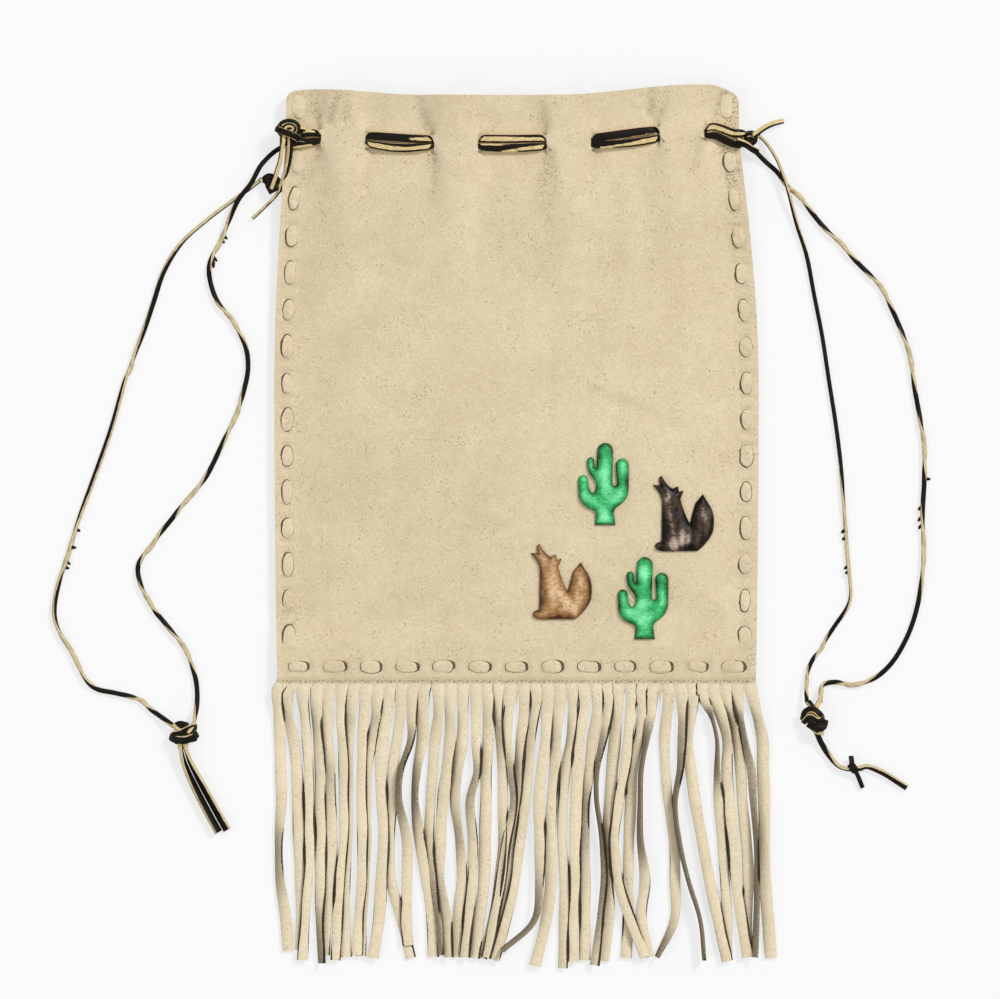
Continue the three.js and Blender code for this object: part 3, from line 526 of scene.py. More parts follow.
def dress(tree, shader, colour, rough, height, bump, **constants):
    """Links colour, roughness and raised grain to a shader, and sets what is the same all over."""
    strength, distance = bump
    raised = node(tree, "ShaderNodeBump", Strength=strength, Distance=distance, Height=height)
    varying = {"Base Color": colour, "Roughness": rough, "Normal": raised.outputs["Normal"]}
    for label, source in varying.items():
        tree.links.new(source, shader.inputs[label])
    for label, value in constants.items():
        shader.inputs[label.replace("_", " ")].default_value = value


def attribute(tree, name):
    return node(tree, "ShaderNodeAttribute", attribute_name=name).outputs["Fac"]


def srgb(red, green, blue):
    def linear(c):
        c /= 255.0
        return c / 12.92 if c <= 0.04045 else ((c + 0.055) / 1.055) ** 2.4

    return (linear(red), linear(green), linear(blue))


def make_nap_group():
    """Nap of suede: slow mottling, fine fibres and small dark specks, as masks and a height."""
    group = bpy.data.node_groups.new("suede nap", "ShaderNodeTree")
    group.interface.new_socket("Vector", in_out="INPUT", socket_type="NodeSocketVector")
    for name, value in (("Mottle Scale", 34.0), ("Fibre Scale", 1150.0), ("Speck Scale", 520.0)):
        made = group.interface.new_socket(name, in_out="INPUT", socket_type="NodeSocketFloat")
        made.default_value = value
    for name in ("Mottle", "Fibre", "Specks", "Height"):
        group.interface.new_socket(name, in_out="OUTPUT", socket_type="NodeSocketFloat")
    start = group.nodes.new("NodeGroupInput")
    end = group.nodes.new("NodeGroupOutput")
    place = start.outputs["Vector"]
    mottle_scale = start.outputs["Mottle Scale"]
    slow = noise(group, place, mottle_scale, 5.0, 0.62)
    middle = noise(group, place, maths(group, "MULTIPLY", mottle_scale, 7.0), 4.0, 0.6)
    fibre = noise(group, place, start.outputs["Fibre Scale"], 3.0, 0.7)
    cells = node(group, "ShaderNodeTexVoronoi", Vector=place, Scale=start.outputs["Speck Scale"],
                 Randomness=1.0)
    dots = ramp(group, cells.outputs["Distance"], [(0.18, grey(1.0)), (0.32, grey(0.0))])
    patch = step_ramp(group, noise(group, place, 120.0, 3.0), 0.5, 0.62)
    made = {"Mottle": shares(group, slow, 0.6, middle, 0.4), "Fibre": fibre,
            "Specks": maths(group, "MULTIPLY", dots, patch),
            "Height": shares(group, fibre, 0.6, middle, 0.7)}
    for name, source in made.items():
        group.links.new(source, end.inputs[name])
    return group


NAP = make_nap_group()


def suede_material(name, dark, light, speck, bump, finish=None):
    """Napped suede; finish may paint shade and flecks into its colour, as the piece's own attributes say."""
    material, tree, shader = node_material(name)
    nap = node(tree, "ShaderNodeGroup", node_tree=NAP, Vector=object_place(tree)).outputs
    colour = ramp(tree, nap["Mottle"], [(0.34, dark), (0.66, light)])
    fibre = ramp(tree, nap["Fibre"], [(0.28, (0.8, 0.79, 0.77)), (0.66, (1.06, 1.055, 1.05))])
    colour = mixed(tree, 1.0, colour, fibre, "MULTIPLY")
    colour = mixed(tree, maths(tree, "MULTIPLY", nap["Specks"], speck), colour, srgb(118, 92, 58))
    if finish is not None:
        colour = finish(tree, colour, nap)
    rough = ramp(tree, nap["Fibre"], [(0.2, grey(0.86)), (0.8, grey(0.98))])
    dress(tree, shader, colour, rough, nap["Height"], (bump, 0.0006),
          Specular_IOR_Level=0.12, Sheen_Weight=0.06, Sheen_Roughness=0.6)
    return material


def panel_shade_and_flecks(tree, colour, _):
    """Painted shade in holes, creases and slit lips; dark flecks, partly painted shade, more along folds."""
    tone = ramp(tree, attribute(tree, "shade"), [(0.0, srgb(58, 44, 26)), (1.0, grey(1.0))])
    colour = mixed(tree, 1.0, colour, tone, "MULTIPLY")
    torn = step_ramp(tree, noise(tree, object_place(tree), 900.0, 3.0, 0.7), 0.53, 0.6)
    amount = maths(tree, "MULTIPLY", torn, attribute(tree, "fleck"))
    return mixed(tree, maths(tree, "MULTIPLY", amount, 0.75), colour, srgb(112, 88, 58))


def stitch_shadow_line(tree, colour, nap):
    """A ragged painted shadow line round each stitch, in the gap where the thong meets the suede."""
    ragged = maths(tree, "ADD", attribute(tree, "rim"), about_half(tree, nap["Mottle"], 2.4))
    ragged = maths(tree, "ADD", ragged, about_half(tree, nap["Fibre"], 0.7))
    line = step_ramp(tree, ragged, 0.5, 0.68)
    return mixed(tree, maths(tree, "MULTIPLY", line, 0.9), colour, srgb(64, 47, 26))


def strand_shade_and_shadows(tree, colour, nap):
    """Painted shade where a strand turns on edge; painted shadow at its edges, thinning where strands part.
    """
    fibre = nap["Fibre"]
    turned = maths(tree, "ADD", attribute(tree, "grey"), about_half(tree, fibre, 1.5))
    turned = maths(tree, "MULTIPLY", step_ramp(tree, turned, 0.3, 0.95), 0.78)
    colour = mixed(tree, turned, colour, srgb(78, 62, 37))
    place = attribute(tree, "across")
    left = maths(tree, "ADD", place, maths(tree, "MULTIPLY", attribute(tree, "left_dark"), 0.42))
    right = maths(tree, "SUBTRACT", maths(tree, "MULTIPLY", attribute(tree, "right_dark"), 0.42), place)
    line = maths(tree, "ADD", maths(tree, "MAXIMUM", left, right), about_half(tree, fibre, 0.3))
    line = step_ramp(tree, maths(tree, "SUBTRACT", line, 0.5), 0.52, 0.58)
    return mixed(tree, maths(tree, "MULTIPLY", line, 0.95), colour, srgb(38, 28, 14))


def lace_material(name, tans):
    """Black grain leather on one face, raw tan leather on the flesh side and the cut edges."""
    material, tree, shader = node_material(name)
    strip = node(tree, "ShaderNodeUVMap", uv_map="strip").outputs["UV"]
    grain = noise(tree, strip, 90.0, 5.0, 0.65)
    streak = noise(tree, stretched(tree, strip, 0.0, (6.0, 0.5, 1.0)), 60.0, 4.0, 0.6)
    black = ramp(tree, grain, [(0.3, srgb(8, 5, 2)), (0.75, srgb(30, 22, 12))])
    tan = ramp(tree, streak, list(zip((0.26, 0.5, 0.74), tans)))
    ragged = maths(tree, "ADD", attribute(tree, "edge"), about_half(tree, streak, 0.8))
    ragged = maths(tree, "ADD", ragged, about_half(tree, grain, 0.35))
    colour = mixed(tree, step_ramp(tree, ragged, 0.44, 0.56), black, tan)
    rough = ramp(tree, ragged, [(0.4, grey(0.5)), (0.6, grey(0.85))])
    dress(tree, shader, colour, rough, grain, (0.35, 0.0004), Specular_IOR_Level=0.14)
    return material


def satin_material(name, dark, middle, light, swell_light_share, painted_sheen_share, stretch, angle, gloss):
    """Padded satin with fine threads; painted shade by the sewn edge, highlight on the swell, broken sheen.
    """
    material, tree, shader = node_material(name)
    place = object_place(tree)
    threads = noise(tree, stretched(tree, place, 0.7, (0.55, 1.3, 1.0)), 900.0, 2.0)
    cloud = noise(tree, stretched(tree, place, angle, (*stretch, 1.0)), 120.0, 2.0, 0.45)
    ridge = maths(tree, "MULTIPLY", maths(tree, "POWER", attribute(tree, "ridge"), 0.7), swell_light_share)
    tone = maths(tree, "ADD", ridge, about_half(tree, cloud, painted_sheen_share))
    tone = maths(tree, "ADD", tone, about_half(tree, threads, 0.5))
    colour = ramp(tree, tone, [(0.05, dark), (0.42, middle), (0.8, light)])
    rough = ramp(tree, threads, [(0.3, grey(0.36)), (0.7, grey(0.52))])
    dress(tree, shader, colour, rough, maths(tree, "ADD", threads, cloud), (0.3, 0.0004),
          Specular_IOR_Level=gloss, Anisotropic=0.4)
    return material


PANEL_SUEDE = suede_material("panel suede", srgb(211, 194, 161), srgb(227, 211, 178), 0.4, 0.5, panel_shade_and_flecks)
FRINGE_SUEDE = suede_material("fringe suede", srgb(222, 207, 175), srgb(236, 223, 194), 0.3, 0.45,
                              strand_shade_and_shadows)
HEADER_SUEDE = suede_material("header suede", srgb(212, 195, 161), srgb(227, 211, 178), 0.5, 0.5)
THONG_SUEDE = suede_material("thong suede", srgb(211, 194, 161), srgb(228, 213, 181), 0.4, 0.5,
                             stitch_shadow_line)
SEAM_THREAD = suede_material("seam thread", srgb(140, 116, 78), srgb(178, 153, 112), 0.2, 0.4)
LACE_LEATHER = lace_material("black lace leather",
                             (srgb(150, 118, 66), srgb(214, 191, 137), srgb(238, 222, 178)))
FREE_LEATHER = lace_material("worn lace leather",
                             (srgb(132, 112, 76), srgb(204, 187, 145), srgb(232, 220, 188)))
# each satin's dark and light colours are its painted shade and painted highlight
SATIN_GREEN = satin_material("green satin", srgb(4, 72, 24), srgb(48, 174, 98), srgb(136, 240, 176),
                             0.57, 1.15, (0.8, 1.1), 0.3, 0.32)
SATIN_BROWN = satin_material("brown satin", srgb(4, 1, 0), srgb(78, 62, 49), srgb(206, 188, 172),
                             0.54, 2.1, (1.3, 0.5), 0.25, 0.2)
SATIN_GOLD = satin_material("gold satin", srgb(70, 36, 8), srgb(164, 121, 74), srgb(246, 214, 170),
                            0.62, 1.2, (1.3, 0.5), 0.25, 0.3)


# Cords: the ends of the lace line, the mouth's corners, and heights above the table
LEFT_EDGE = float(centre_x(LACE_LINE) - half_width(LACE_LINE))
RIGHT_EDGE = float(centre_x(LACE_LINE) + half_width(LACE_LINE))
LEFT_CORNER = np.array([LEFT_EDGE, LACE_LINE + float(mouth_rise(LEFT_EDGE, LACE_LINE)), 0.0])
RIGHT_CORNER = np.array([RIGHT_EDGE, LACE_LINE + float(mouth_rise(RIGHT_EDGE, LACE_LINE)), 0.0])
EDGE_TOP = MOUTH_SEAM_LIFT + 2 * SUEDE + GAP
LACE_ABOVE = EDGE_TOP + GAP + LACE_THICK / 2
LACE_BELOW = GAP + LACE_THICK / 2
ROUTE_STEP = 1.3
FREE_BEVEL, TABLE_GAP = 0.45, 0.1
# How far a narrow lace swings to the side as it twists
TWIST_SWING = 0.45
FRAY_WIDTH, FRAY_THICK, FRAY_BEVEL, FRAY_STEP = 1.7, 1.2, 0.3, 0.4

# Routes: places across and along from the mouth's corner, and the lift above the table
LEFT_OUTER_ROUTE = [
    (-12.4, -21.4, 0.3), (-19.25, -26.75, 0), (-27.75, -32.75, 0), (-40.25, -42.25, 0), (-51.75, -52.75, 0),
    (-60.75, -67.25, 0), (-65.75, -82.25, 0), (-70.75, -96.75, 0), (-79.25, -118.25, 0),
    (-87.25, -146.25, 0), (-96.25, -171.75, 0), (-104.75, -194.75, 0), (-112.75, -220.25, 0),
    (-115.75, -237.75, 0), (-113.75, -247.25, 0), (-107.75, -257.75, 0), (-99.75, -271.75, 0),
    (-94.75, -275.75, 0),
    (-85.75, -277.75, 0), (-76.25, -280.25, 0), (-67.75, -286, 0), (-60, -291.5, 1.2), (-56, -294.6, 2.4),
]
LEFT_INNER_ROUTE = [
    (-0.8, -4.9, 0.1), (-3.2, -6.4, 0.3), (-6.2, -8.4, 0.7), (-9.2, -11.2, 1.3), (-12.5, -15, 2.2),
    (-17.25, -23.75, 2.9), (-23.75, -32.25, 2.8), (-28.75, -42.75, 1.2), (-33.75, -53.25, 0),
    (-37.25, -60.75, 0), (-38.25, -68.25, 0), (-34.75, -81.25, 0), (-26.25, -93.75, 0), (-20.25, -104.25, 0),
    (-18.75, -115.75, 0), (-21.25, -128.25, 0), (-26.75, -142.25, 0), (-32.75, -156.25, 0),
    (-40.25, -170.75, 0), (-49.75, -181.25, 0), (-56.75, -191.25, 0), (-65.25, -201.25, 0),
    (-71.25, -209.25, 0), (-73.75, -215.25, 0), (-73.25, -221.25, 0), (-69.75, -231.25, 0),
    (-60.25, -243.25, 0), (-53.25, -252.75, 0), (-47.25, -263.75, 0), (-44.75, -272.25, 0),
    (-44.25, -283.25, 0.6), (-46.6, -294.6, 2.4),
]
LEFT_OUTER_TAIL_ROUTE = [
    (-53.0, -304.8, 2.4), (-51.2, -313, 0.8), (-45.6, -325.8, 0), (-38.9, -338.8, 0), (-33.9, -347.8, 0),
]
LEFT_INNER_TAIL_ROUTE = [
    (-50.6, -304.8, 2.4), (-48.3, -311.8, 0.8), (-41.9, -324.3, 0), (-34.9, -337.2, 0), (-29.6, -346.7, 0),
]
RIGHT_OUTER_ROUTE = [
    (8.6, -6.2, 2.2), (13.75, -11.25, 0.2), (20.25, -17.25, 0), (25.25, -24.75, 0), (31.75, -30.75, 0),
    (44.75, -46.25, 0), (57.25, -59.25, 0), (67.75, -70.25, 0), (75.25, -81.75, 0), (81.75, -96.25, 0),
    (85.25, -108.75, 0), (88.75, -126.75, 0), (91.25, -141.75, 0), (93.25, -169.75, 0), (92.25, -187.75, 0),
    (91.75, -221.25, 0), (89.25, -236.25, 0), (84.25, -250.25, 0), (76.25, -263.25, 0), (67.75, -270.25, 0),
    (57.25, -272.75, 0), (47.25, -272.25, 0), (41.75, -273.75, 0.6), (40.25, -281.8, 3),
]
RIGHT_INNER_ROUTE = [
    (4.2, 2.4, 0.4), (10.75, 0.75, 0.6), (15.75, -4.75, 2), (19.25, -10.75, 3.4), (22, -17.5, 3.6),
    (24.75, -25.75, 3.2), (29.25, -42.25, 0.7), (34.25, -57.75, 0.1), (38.25, -78.25, 0), (42.25, -98.75, 0),
    (45.75, -121.75, 0), (49.25, -144.25, 0), (51.75, -166.25, 0), (52.75, -187.75, 0), (53.75, -205.75, 0),
    (55.25, -218.75, 0), (56.25, -227.25, 0), (54.75, -234.25, 0), (48.25, -244.25, 0), (40.75, -255.25, 0),
    (35.75, -264.25, 0), (33.75, -270.75, 0.6), (34.6, -281.8, 3),
]
RIGHT_TAIL_ROUTE = [
    (39.4, -296.4, 1.8), (41.25, -301, 1), (44.75, -307, 0.2), (49.75, -313.4, 0.2), (53.6, -315, 0.8),
    (57.3, -314.8, 1.4), (60.8, -314.6, 0.6), (63.75, -313.75, 0.1), (71.25, -316.25, 0),
    (84.25, -324.25, 0),
]


def twisted(plan, count):
    """Roll in radians along a lace, and how bare its edges are, from marks of (share, turns)."""
    marks = np.array(plan, float)
    roll = 2 * math.pi * np.interp(np.linspace(0, 1, count), marks[:, 0], marks[:, 1])
    roll = smoothed(roll, 2)
    roll -= 0.5 * np.sin(roll)
    return roll, 1 - 0.75 * np.clip(np.cos(roll), 0, 1) ** 8


def lace_piece(name, strip, material, *nodes):
    """A piece of lace from the vertices, faces, uv and edge values of its strip."""
    vertices, faces, uv, edge = strip
    piece = add_object(name, vertices, faces, uv, {"edge": edge})
    return finish_piece(piece, material, "lace_leather", *nodes)


def frays(name, path, marks):
    """Torn bits that stick out of a lace; a mark is (share, length, lean), and a minus sends it right."""
    parts = []
    for share, length, lean in marks:
        at = int(share * (len(path) - 1))
        along = path[at + 1] - path[at - 1]
        along /= np.linalg.norm(along)
        out = np.array([-along[1], along[0], 0.0]) * math.copysign(1.0, length)
        reach = abs(length)
        bend = curve_through([path[at] + 0.5 * out,
                              path[at] + (0.5 + 0.6 * reach) * out + 0.4 * lean * along,
                              path[at] + (0.5 + reach) * out + lean * along], FRAY_STEP)
        thinning = np.linspace(1.3, 0.55, len(bend))
        parts.append(strip_parts(bend, rolled(bend, 0.0), FRAY_WIDTH, FRAY_THICK, FRAY_BEVEL, thinning,
                                 np.zeros(len(bend))))
    return lace_piece(name, joined(parts), FREE_LEATHER)


def free_lace(name, route, corner, width, far_end, nodes, plan, torn):
    """A lace that lies free on the table, twisted about its line as its plan says."""
    path = curve_through([(corner[0] + x, corner[1] + y, lift) for x, y, lift in route], ROUTE_STEP)
    roll, bare = twisted(plan, len(path))
    thick = min(FREE_LACE_THICK, 0.7 * width)
    if width < LACE_WIDTH:
        ahead = tangents(path[:, :2])
        path[:, :2] -= TWIST_SWING * np.cos(roll)[:, None] * np.stack([-ahead[:, 1], ahead[:, 0]], 1)
    path[:, 2] += width / 2 * np.abs(np.sin(roll)) + thick / 2 * np.abs(np.cos(roll)) + TABLE_GAP
    strip = strip_parts(path, rolled(path, roll), width, thick, FREE_BEVEL, bare=bare)
    piece = lace_piece(name, strip, FREE_LEATHER, *nodes)
    ends = [frays(name + "_frays", path, torn)] if torn else []


# Each lace's plan: a whole number of turns lays the black grain upwards, a half turn the raw flesh side
FREE_LACES = [
    ("left_outer_lace", LEFT_OUTER_ROUTE, LEFT_CORNER, 2.4, "knot", ["left_outer_strand"],
     [(0, -0.3), (0.13, -0.3), (0.15, -0.27), (0.2, -0.15), (0.24, -0.08), (0.28, -0.14), (0.31, -0.22),
      (0.345, -0.33), (0.37, -0.75), (0.42, -0.81), (0.5, -0.82), (0.55, -0.8), (0.6, -0.73), (0.64, -0.55),
      (0.68, -0.26), (0.71, -0.18), (0.75, -0.25), (0.8, -0.5), (0.85, -0.75), (0.87, -0.92), (0.9, -1),
      (0.925, -1.2), (0.94, -1.5), (0.955, -1.8), (0.97, -2), (1, -2.25)],
     [(0.611, 2.0, 0.3), (0.636, 2.4, -0.4), (0.66, 2.1, 0.6), (0.669, 2.4, 0.1)]),
    ("left_inner_lace", LEFT_INNER_ROUTE, LEFT_CORNER, 2.4, "knot", ["left_inner_strand"],
     [(0, 0), (0.1, -0.03), (0.135, -0.17), (0.18, -0.5), (0.205, -0.75), (0.24, -1), (0.265, -1.1),
      (0.31, -1.5), (0.345, -1.85), (0.385, -2), (0.425, -2.12), (0.46, -2.5), (0.5, -2.8), (0.54, -3),
      (0.605, -3.5), (0.65, -4), (0.7, -4.5), (0.74, -5), (0.79, -5.5), (0.82, -6), (0.88, -6.5),
      (0.92, -6.9), (0.96, -7.06), (1, -7.4)],
     [(0.172, 2.2, 0.6), (0.177, 1.7, -0.2), (0.204, 2.7, 1.2), (0.208, 2.1, 3.4), (0.213, 2.0, 2.6)]),
    ("left_outer_tail_lace", LEFT_OUTER_TAIL_ROUTE, LEFT_CORNER, LACE_WIDTH, "bare", ["left_outer_tail"],
     [(0, -0.33), (0.2, -0.27), (0.5, -0.21), (1, -0.19)], ()),
    ("left_inner_tail_lace", LEFT_INNER_TAIL_ROUTE, LEFT_CORNER, LACE_WIDTH, "bare", ["left_inner_tail"],
     [(0, 0.32), (0.2, 0.27), (0.5, 0.21), (1, 0.19)], ()),
    ("right_outer_lace", RIGHT_OUTER_ROUTE, RIGHT_CORNER, 2.4, "knot", ["right_outer_strand"],
     [(0, 0), (0.05, 0), (0.09, -0.5), (0.14, -1), (0.19, -1.5), (0.235, -2), (0.28, -2.5), (0.33, -3),
      (0.39, -3.5), (0.46, -4), (0.525, -4.5), (0.59, -5), (0.68, -5.5), (0.76, -5.95), (0.88, -6.05),
      (0.93, -6.5), (0.96, -7), (0.985, -7.5), (1, -7.5)],
     [(0.577, 2.6, 0.1), (0.62, -1.6, 1.6), (0.633, -1.7, 1.8), (0.646, -1.6, 1.6)]),
    ("right_inner_lace", RIGHT_INNER_ROUTE, RIGHT_CORNER, 2.1, "knot", ["right_inner_strand"],
     [(0, 0.3), (0.1, 0.3), (0.16, 0.22), (0.26, 0.06), (0.32, 0), (0.5, -0.03), (0.6, -0.12), (0.64, -0.28),
      (0.72, -0.5), (0.82, -0.75), (0.86, -1), (0.89, -1.25), (0.905, -1.5), (0.93, -2), (0.965, -2.5),
      (1, -3)],
     [(0.698, -1.6, 1.2), (0.71, -1.5, 0.8), (0.758, -1.7, 1.0), (0.766, -1.4, 0.8)]),
    ("right_tail_lace", RIGHT_TAIL_ROUTE, RIGHT_CORNER, FREE_LACE_WIDTH, "bare",
     ["right_end_tail", "right_tail_tip"],
     [(0, 0.03), (0.15, 0.05), (0.22, 0.2), (0.34, 0.29), (0.44, 0.32), (0.5, 0.15), (0.56, 0.27),
      (0.7, 0.2), (1, 0.14)], ()),
]
for lace in FREE_LACES:
    free_lace(*lace)


# Knots: loops and bands of lace over a wound core, with the short ends that stick out of them
KNOT_BEVEL = 0.5
# Points of a whole turn, the rise of a loop in it, and the step along a band
WINDING_POINTS, LOOP_POINTS = 22, 40
LOOP_RISE = 0.9
BAND_STEP = 0.8


def winding(centre, angle, length, radius, height, turns, phase, width=LACE_WIDTH, thick=1.7, bare=0.2):
    """Lace wound about a line that lies at an angle in plan."""
    count = int(turns * WINDING_POINTS) + 1
    turn = np.linspace(0, turns * 2 * math.pi, count)[:, None] + phase
    run = np.linspace(-length / 2, length / 2, count)[:, None]
    axis = np.array([math.cos(angle), math.sin(angle), 0.0])
    side = np.array([-math.sin(angle), math.cos(angle), 0.0])
    path = np.array(centre) + run * axis + radius * np.cos(turn) * side + height * np.sin(turn) * UP
    normals = np.cos(turn) * side / radius + np.sin(turn) * UP / height
    return strip_parts(path, normals, width, thick, KNOT_BEVEL, bare=np.full(count, bare))


def loop(centre, wide, tall, dip, turns, phase, roll, width, thick=1.9, bare=1.0):
    """Lace that lies round a centre in plan, rising from turn to turn."""
    count = int(LOOP_POINTS * turns) + 1
    run = np.linspace(0, 2 * math.pi * turns, count)
    cos, sin = np.cos(run + phase), np.sin(run + phase)
    lift = dip * sin + LOOP_RISE * run / (2 * math.pi)
    path = np.array(centre) + np.stack([wide * cos, tall * sin, lift], 1)
    normals = rolled(path, math.radians(roll))
    return strip_parts(path, normals, width, thick, KNOT_BEVEL, bare=np.full(count, bare))


def band(points, roll, width=FREE_LACE_WIDTH, thick=LACE_THICK, bare=1.0):
    """A short length of lace through points; roll is the turn at its start and its end, in degrees."""
    path = curve_through(points, BAND_STEP)
    turn = np.radians(np.linspace(roll[0], roll[1], len(path)))
    return strip_parts(path, rolled(path, turn), width, thick, KNOT_BEVEL, bare=np.full(len(path), bare))


def knot(name, corner, place, parts, *nodes):
    """Joins parts that are given from the knot's own place, which is given from a corner of the mouth."""
    vertices, faces, uv, edge = joined(parts)
    vertices += corner + np.array([*place, 0.0])
    lace_piece(name, (vertices, faces, uv, edge), LACE_LEATHER, *nodes)


ring = EDGE_TOP + 2.4
knot("left_hitch", LEFT_CORNER, (0.0, 0.0), [
    winding((1.6, 3.2, EDGE_TOP + 2.6), 0.1, 5.0, 2.4, 1.9, 2.0, 0.6, 3.2, 1.6),
    loop((1.4, 3.3, ring), 4.7, 3.7, 0.5, 1.0, 2.6, 43, 3.0),
    loop((1.6, 3.5, ring + 1.9), 2.5, 1.7, 0.3, 1.0, 0.4, 54, 2.4, 1.7),
    band([(-4.6, 3.6, ring), (-2.6, 2.4, ring + 2.6), (1.6, 0.9, ring + 3.4), (5.0, -0.7, ring + 1.6),
          (6.2, -1.6, ring - 0.6)], (10, -10), 3.4, 1.8),
    band([(-1.0, 1.2, 11.4), (-1.9, -6, 10.8), (-3.0, -12.5, 9.6), (-5.0, -18.8, 8.0), (-7.6, -26.2, 5.6)],
         (75, 80), 2.6, 2.0),
    band([(2.2, 0.4, 10.8), (2.0, -7, 10.4), (1.2, -12.8, 9.2), (-0.8, -20.4, 6.6), (-3.6, -27.6, 4.0)],
         (-40, -65), 2.8, 2.0),
    band([(9.4, 2.7, LACE_ABOVE), (6.2, 3.2, LACE_ABOVE + 0.6), (3.4, 4.4, LACE_ABOVE + 1.6)],
         (-50, -30), 3.6),
    band([(9.4, -1.8, LACE_ABOVE), (6.0, -1.0, LACE_ABOVE + 0.3), (3.2, 0.6, LACE_ABOVE + 1)],
         (20, 10), 3.6),
], "left_hitch_knot", "left_drop_outer", "left_drop_inner")
knot("left_lower_wraps", LEFT_CORNER, (-6.8, -23.6), [
    winding((0, 0, 3.3), math.pi / 2 + 0.3, 6.0, 3.0, 2.1, 2.2, 0.4, 3.8, bare=0.1),
    band([(-4.8, 1.4, 2.2), (-1.8, 3.4, 4.6), (2.4, 1.4, 5.2), (3.8, -2.0, 3.4)], (0, 20), 3.4, bare=0.2),
    band([(3.4, -3.6, 3.6), (1.2, -6.4, 2.8), (-3.8, -11.4, 1.8), (-10.2, -17.4, 1.3)],
         (-80, -80), 1.7, 1.5, 0.7),
    band([(-0.2, 1.0, 3), (-3.4, 2.2, 2.6), (-6.4, 1.6, 2.0)], (80, 80)),
], "left_lower_knot", "left_short_end")
knot("left_end_wraps", LEFT_CORNER, (-51.0, -299.4), [
    winding((0, 0, 3.7), 0.1, 8.4, 3.1, 2.3, 2.3, 0.9, bare=0.15),
    band([(-6.6, -0.6, 2.6), (-4.6, -1.7, 5.4), (0, -2.2, 7.0), (4.4, -0.8, 5.8), (6.0, 0.8, 2.8)],
         (20, 24), 4.0, 1.9),
    band([(-5.0, 0.6, 4.0), (-1.4, 1.5, 7.4), (3.2, 3.7, 7.0), (5.6, 4.2, 3.6)], (24, 12), 3.4, 1.8),
    band([(-4.6, 4.4, 3.0), (-2.0, 5.6, 5.2), (2.0, 4.6, 5.0)], (0, 0), 3.6, 1.9, 0.1),
    band([(4.5, 5.8, 3.8), (3.0, 3.0, 7.0), (1.8, 1.6, 7.0)], (-95, -95)),
    band([(-5.2, 5.5, 3.8), (-2.6, 2.8, 5.2), (-0.2, 1.2, 5.4)], (140, 120)),
    band([(-1.4, -1.0, 4.6), (-2.0, -4.0, 4.4), (-2.0, -6.4, 3.8)], (-100, -100), 3.4),
    band([(1.4, -1.0, 4.6), (0.6, -4.0, 4.4), (0.5, -6.4, 3.8)], (95, 95), 3.4),
], "left_end_knot")
knot("right_hitch", RIGHT_CORNER, (0.0, 0.0), [
    loop((5.6, -0.5, 5.4), 2.6, 2.3, 0.4, 2.3, 0.5, 29, 2.4, 1.7, 0.8),
    winding((5.8, -0.6, 6.0), 0.4, 3.2, 1.5, 1.6, 1.5, 0.3, 2.6, 1.4),
    band([(-1.2, -1.4, LACE_ABOVE + 1.0), (3.2, -3.2, LACE_ABOVE + 0.4), (6.4, -5.2, 5.6), (9.2, -6.8, 3.2)],
         (40, 10), 3.2),
    band([(6.8, 0.8, 7.6), (9.4, 2.6, 6.8), (13.25, 5.4, 5.2), (18.2, 7.6, 3.2), (22.2, 8.6, 1.8)],
         (60, 75)),
    band([(3.6, 2.4, 4.2), (6.6, 2.8, 4.6), (10.2, 1.0, 3.4)], (-70, -70), 2.2, 1.8),
], "right_hitch_knot", "right_short_end")
knot("right_end_wraps", RIGHT_CORNER, (38.2, -290.2), [
    winding((-0.4, -0.6, 4.6), 2.1, 8.0, 2.7, 2.5, 2.0, 0.7, bare=0.15),
    band([(-6.0, -0.4, 3.0), (-4.9, 3.6, 5.8), (-1.4, 5.0, 7.8), (1.8, 2.8, 8.2), (3.4, 0.6, 4.6)],
         (-24, -24), 3.2, 1.8),
    band([(-5.8, -1.6, 3.6), (-2.6, 1.2, 7.2), (1.0, -0.6, 8.0), (4.0, 0.2, 5.2)], (22, 26), 3.0, 1.8),
    band([(-3.2, -2.4, 4.4), (0.2, -4.2, 7.2), (3.6, -3.9, 6.6), (4.8, -0.8, 3.8)], (0, 0), 3.8, 1.9, 0.2),
    band([(-2.6, -3.2, 3.6), (0.6, -6.4, 5.2), (4.2, -7.0, 4.8)], (-100, -95), 2.6, 2.0),
    band([(-3.6, 8.8, 4.2), (-1.4, 5.6, 5.0), (-0.6, 2.2, 6.4)], (-40, -40)),
    band([(2.05, 8.8, 4.2), (0.6, 5.6, 6.2), (-0.4, 2.6, 7.6)], (95, 95)),
    band([(0.8, -3.2, 5), (1.0, -5.4, 4.0), (1.3, -7.4, 3.0)], (10, 10), 3.2, bare=0.2),
], "right_end_knot")
knot("right_tail_wraps", RIGHT_CORNER, (57.3, -314.6), [
    winding((0, 0, 2.5), 0.5, 2.4, 1.9, 1.5, 1.6, 0.2, 2.6, 1.3, 0.3),
    band([(-0.9, 0.2, 3.4), (-0.8, 3.0, 3.2), (-1.1, 5.8, 2.4)], (20, 30), 2.6, 1.4, 0.4),
    band([(0.9, -1.2, 3), (2.9, -5.4, 1.9), (4.7, -10.0, 1.3)], (20, 40), 2.2, 1.6, 0.2),
], "right_tail_knot")


# Laces through the mouth. A row gives a place across, and how bare the upper side is there from the lace's
# low edge to its high edge: 0 is black grain and 1 raw tan
LIP_RADIUS = 4.2
MOUTH_STEP, MOUTH_BEVEL = 0.6, 0.55
